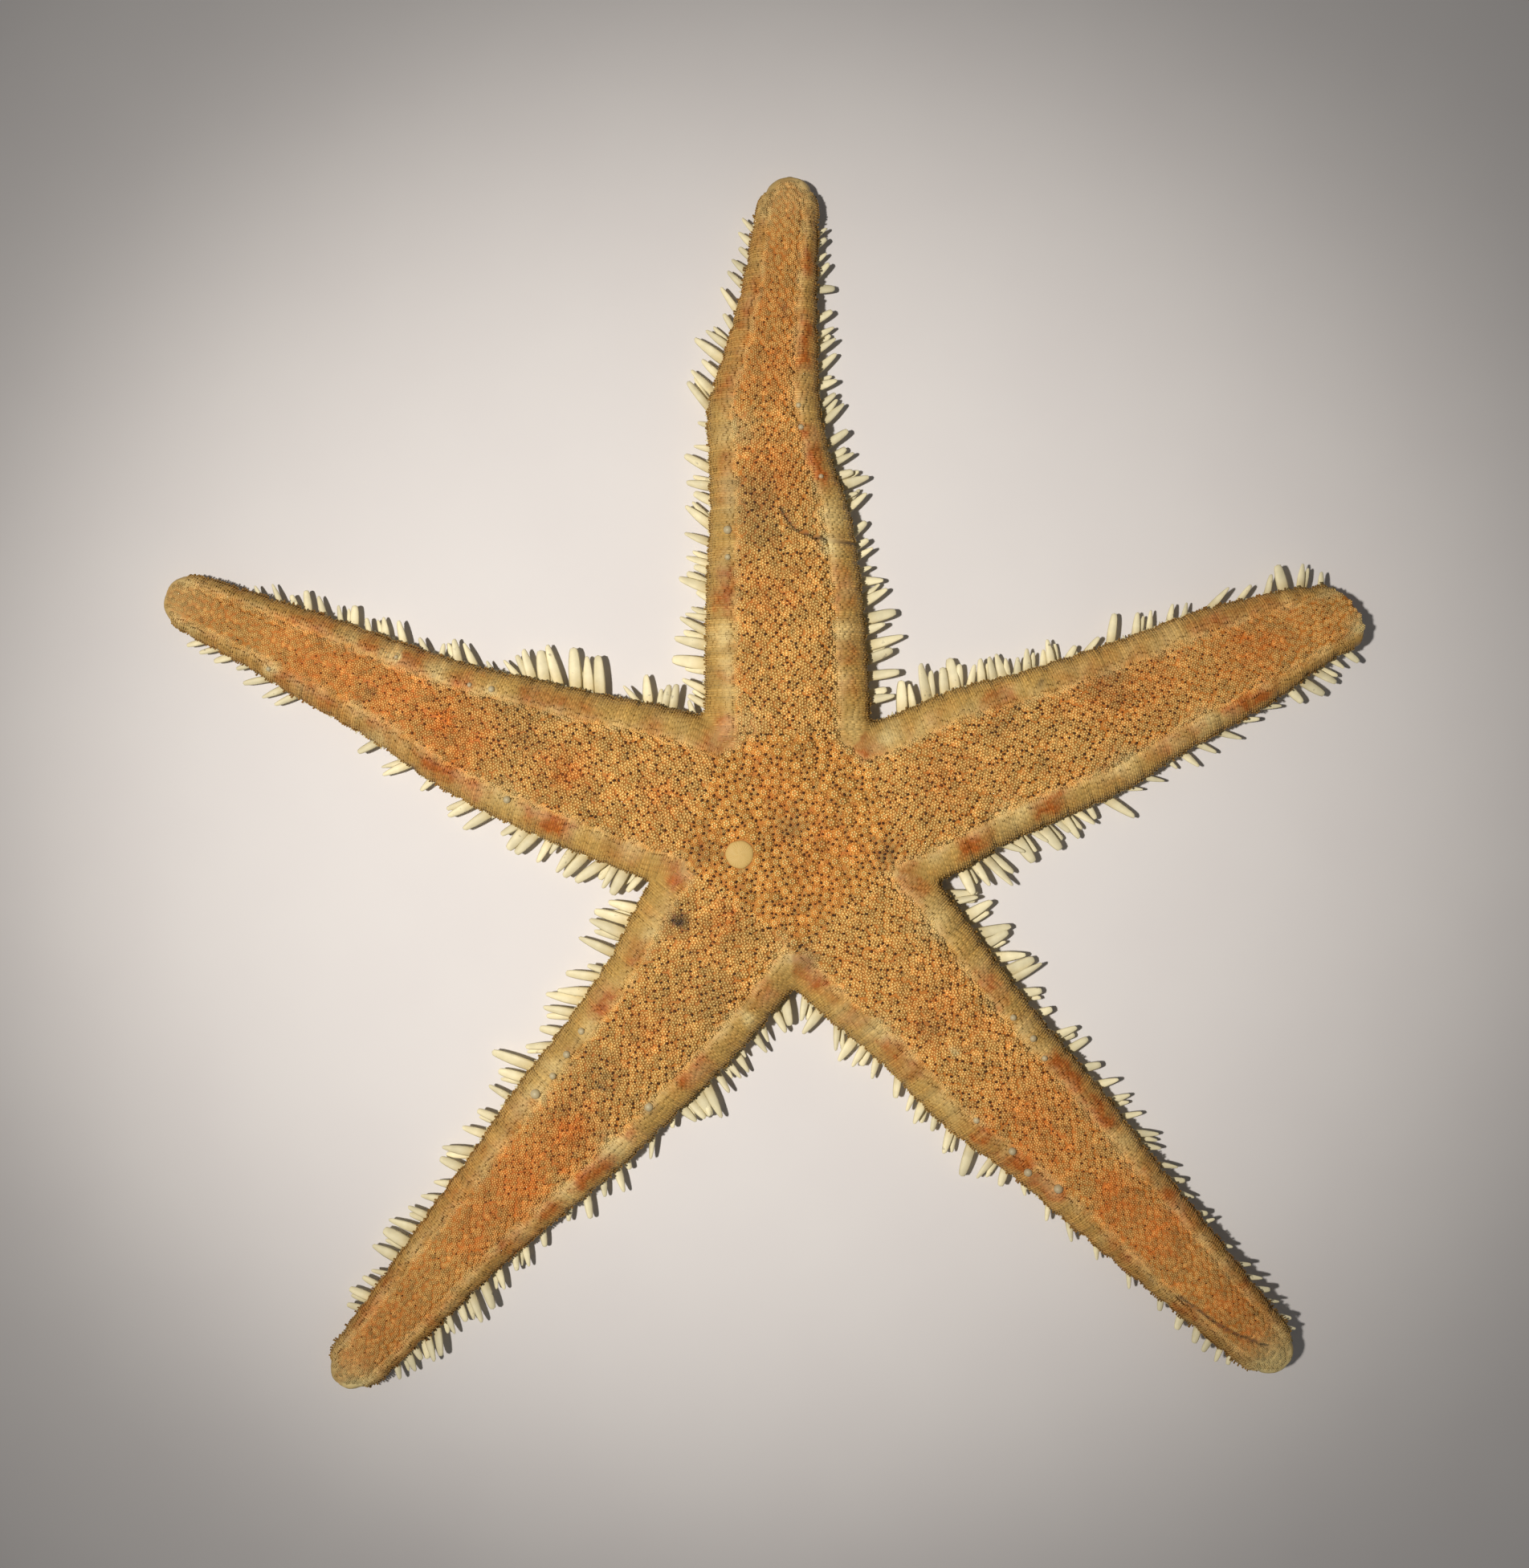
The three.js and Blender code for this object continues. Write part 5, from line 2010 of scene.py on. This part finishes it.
class Pigment:
    """The shared colouring of skin, columns and plates, as a shader node group."""

    inputs = ("Relief", "Tone", "Warm", "Pale", "Dark", "Edge")

    def __init__(self) -> None:
        """Builds the group once."""
        self.tree = bpy.data.node_groups.new("star_pigment", "ShaderNodeTree")
        sockets = [(name, "INPUT", "Float") for name in self.inputs]
        sockets += [("Where", "INPUT", "Vector"), ("Colour", "OUTPUT", "Color")]
        sockets += [("Rough", "OUTPUT", "Float"), ("Height", "OUTPUT", "Float")]
        for name, way, kind in sockets:
            self.tree.interface.new_socket(name, in_out=way, socket_type=f"NodeSocket{kind}")
        graph = Graph(self.tree)
        source = graph.add("NodeGroupInput").outputs
        relief, edge, where = source["Relief"], source["Edge"], source["Where"]
        mottle, grainy = graph.noise(where, 260.0, 3.0), graph.noise(where, 900.0)
        spotted, fine = graph.noise(where, 800.0), graph.noise(where, 1500.0)
        # The relief moves each colour along its ramp: low points are painted darker as shade, and high points
        # lighter as painted light.
        steps = graph.spread(relief, 0.0, 0.5), graph.spread(relief, 0.45, 1.0)
        field_colour = graph.ramp(*steps, PALETTE.low_shade, PALETTE.column, PALETTE.crown)
        plate_colour = graph.ramp(*steps, PALETTE.plate_shaded, PALETTE.plate, PALETTE.plate_lit)
        rust_colour = graph.ramp(*steps, PALETTE.rust_shaded, PALETTE.rust, PALETTE.rust_lit)
        amber_colour = graph.ramp(*steps, PALETTE.amber_shaded, PALETTE.amber, PALETTE.amber_lit)
        cream_colour = graph.ramp(*steps, PALETTE.plate, PALETTE.cream, PALETTE.cream)
        base = graph.mix(edge, field_colour, plate_colour)
        warm_colour = graph.mix(edge, amber_colour, rust_colour)
        patchy = graph.times(source["Warm"], graph.spread(mottle, 0.35, 0.65, 0.55, 1.1),
                             graph.spread(grainy, 0.38, 0.62, 0.7, 1.15),
                             graph.spread(relief, 0.3, 1.0, 1.25, 0.85))
        stain = graph.times(graph.spread(spotted, 0.52, 0.72, 0.0, 0.45), graph.spread(edge, 0, 1, 1, 0.3))
        warm = graph.sum_up("ADD", patchy, stain)
        # The Dark mark holds stains, the dark at the disc's middle and the painted shade along the crack.
        for share, strength, colour in ((warm, 0.85, warm_colour), (source["Pale"], 0.9, cream_colour),
                                        (source["Dark"], 0.75, PALETTE.dark_stain_and_shade)):
            base = graph.mix(graph.sum_up("MULTIPLY", share, strength, clamp=True), base, colour)
        value = graph.sum_up("ADD", graph.spread(source["Tone"], 0.0, 1.0, 0.72, 1.22),
                             graph.spread(fine, 0.3, 0.7, -0.07, 0.07))
        value = graph.times(value, graph.spread(mottle, 0.3, 0.7, 0.88, 1.1))
        sink = graph.add("NodeGroupOutput").inputs
        graph.put(graph.shaded(base, value), sink["Colour"])
        graph.put(graph.spread(relief, 0.0, 1.0, 0.78, 0.5), sink["Rough"])
        graph.put(fine, sink["Height"])


@dataclass(frozen=True)
class Bone:
    """A pigmented finish: how far it takes the pigment over to another colour, and its gloss."""

    name: str
    tint: Colour = (1.0, 1.0, 1.0, 1.0)
    share: float = 0.0
    specular: float = 0.35
    bump: float = 0.25

    def material(self, pigment: Pigment) -> Finish:
        """Builds the material.

        Args:
            pigment: the shared colouring.

        Returns:
            The material.
        """
        made, graph, shader = new_finish(self.name, self.specular, 0.5)
        group = graph.add("ShaderNodeGroup", node_tree=pigment.tree)
        for name in pigment.inputs:
            graph.put(graph.attribute(name.lower()), group.inputs[name])
        where = graph.add("ShaderNodeTexCoord").outputs["Object"]
        graph.put(where, group.inputs["Where"])
        graph.put(graph.mix(self.share, group.outputs["Colour"], self.tint), shader.inputs["Base Color"])
        graph.put(group.outputs["Rough"], shader.inputs["Roughness"])
        graph.bumpy(group.outputs["Height"], self.bump, shader)
        return made


@dataclass(frozen=True)
class Horn:
    """A waxy finish for spines: cream, painted darker towards the root and on the lower side of small grains
    as shade, with faint streaks along it.
    """

    name: str
    # The colour of low points: painted shade at a spine's root and on a grain's lower side.
    root: Colour
    tip: Colour
    speck: Colour = PALETTE.dark_stain_and_shade
    bump: float = 0.3

    def material(self) -> Finish:
        """Builds the material.

        Returns:
            The material.
        """
        made, graph, shader = new_finish(self.name, 0.35, 0.55)
        where = graph.add("ShaderNodeTexCoord").outputs["Object"]
        mottle = graph.noise(where, 900.0, 3.0)
        # Painted shade: the colour darkens towards the root colour where the relief is low.
        colour = graph.mix(graph.spread(graph.attribute("relief"), 0.05, 0.55), self.root, self.tip)
        colour = graph.mix(graph.spread(mottle, 0.66, 0.75, 0.0, 0.55), colour, self.speck)
        value = graph.times(graph.spread(graph.attribute("tone"), 0.0, 1.0, 0.84, 1.1),
                            graph.spread(mottle, 0.3, 0.7, 0.9, 1.05))
        graph.put(graph.shaded(colour, value), shader.inputs["Base Color"])
        graph.bumpy(mottle, self.bump, shader)
        return made


@dataclass(frozen=True)
class Studio:
    """The pale table, the lamps and the camera."""

    eye_height: float = 300.0
    middle: tuple[float, float] = (-0.24, -0.51)
    plane: float = 3.5
    seen: float = 214.83
    lamp: tuple[float, float, float] = (-171.5, -6.4, 500.0)
    lamp_radius: float = 14.0
    cones: tuple = (("beam", 6.7, 27.5), ("flood", 4.3, 46.0))
    lamp_colour: tuple[float, float, float] = (1.0, 0.965, 0.92)
    fill: float = 0.1
    fill_colour: Colour = (0.9, 0.95, 1.0, 1.0)

    def table(self) -> Piece:
        """Lays the pale table under the star.

        Returns:
            The table.
        """
        shape = bmesh.new()
        bmesh.ops.create_grid(shape, x_segments=4, y_segments=4, size=1.2)
        mesh = bpy.data.meshes.new("table")
        shape.to_mesh(mesh)
        shape.free()
        made, graph, shader = new_finish("pale_table", 0.15, 0.7)
        where = graph.add("ShaderNodeTexCoord").outputs["Object"]
        grain = graph.noise(where, 60.0, 3.0)
        graph.put(graph.mix(grain, linear(226, 220, 217), linear(231, 226, 222)), shader.inputs["Base Color"])
        mesh.materials.append(made)
        table = bpy.data.objects.new("table", mesh)
        bpy.context.scene.collection.objects.link(table)
        return table

    def camera(self) -> None:
        """Hangs the camera straight over the star, looking down."""
        data = bpy.data.cameras.new("camera")
        data.sensor_width = 36.0
        data.lens = 36.0 * (self.eye_height - self.plane) / self.seen
        data.clip_start = 0.01
        eye = bpy.data.objects.new("camera", data)
        eye.location = (self.middle[0] * MM, self.middle[1] * MM, self.eye_height * MM)
        bpy.context.scene.collection.objects.link(eye)
        bpy.context.scene.camera = eye

    def lamps(self) -> None:
        """Lights the table with one small lamp up to the left, and a soft fill."""
        for name, watts, cone in self.cones:
            data = bpy.data.lights.new(name, "SPOT")
            data.energy = watts
            data.shadow_soft_size = self.lamp_radius * MM
            data.spot_size = math.radians(cone)
            data.spot_blend = 1.0
            data.color = self.lamp_colour
            lamp = bpy.data.objects.new(name, data)
            lamp.location = Vector(self.lamp) * MM
            aim = Vector((self.middle[0] - 5.0, self.middle[1], 0.0)) * MM
            lamp.rotation_euler = (aim - lamp.location).to_track_quat("-Z", "Y").to_euler()
            bpy.context.scene.collection.objects.link(lamp)
        world = bpy.data.worlds.new("room")
        world.use_nodes = True
        sky = world.node_tree.nodes["Background"].inputs
        sky["Color"].default_value = self.fill_colour
        sky["Strength"].default_value = self.fill
        bpy.context.scene.world = world
        bpy.context.scene.view_settings.view_transform = "Standard"

    def build(self) -> None:
        """Sets up the table, camera and lamps."""
        self.table()
        self.camera()
        self.lamps()


def main() -> None:
    """Builds the star piece by piece."""
    logging.basicConfig(level=logging.INFO, format="%(name)s %(message)s")
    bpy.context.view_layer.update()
    Studio().build()
    form = StarForm()
    pigment = Pigment()
    bone = Bone("dried_skin").material(pigment)
    skin = Skin(form)
    skin.build(bone)
    Paxillae(form, skin).build(Bone("paxillae", specular=0.4).material(pigment))
    EdgePlates(form, skin).build(Bone("edge_plates").material(pigment))
    horn = Horn("comb_spine", PALETTE.spine_root_shade, PALETTE.spine).material()
    Combs(form, skin).build(horn)
    Fringe(form, skin).build(horn)
    SievePlate(form, skin).build(Bone("sieve_plate", tint=PALETTE.sieve, share=0.85).material(pigment))
    Beads(form, skin).build(Bone("bead", tint=PALETTE.bead, share=0.85, specular=0.5).material(pigment))
    feet = Horn("tube_foot", PALETTE.foot, PALETTE.column).material()
    Underside(form, skin).build(horn, feet)


if __name__ == "__main__":
    main()
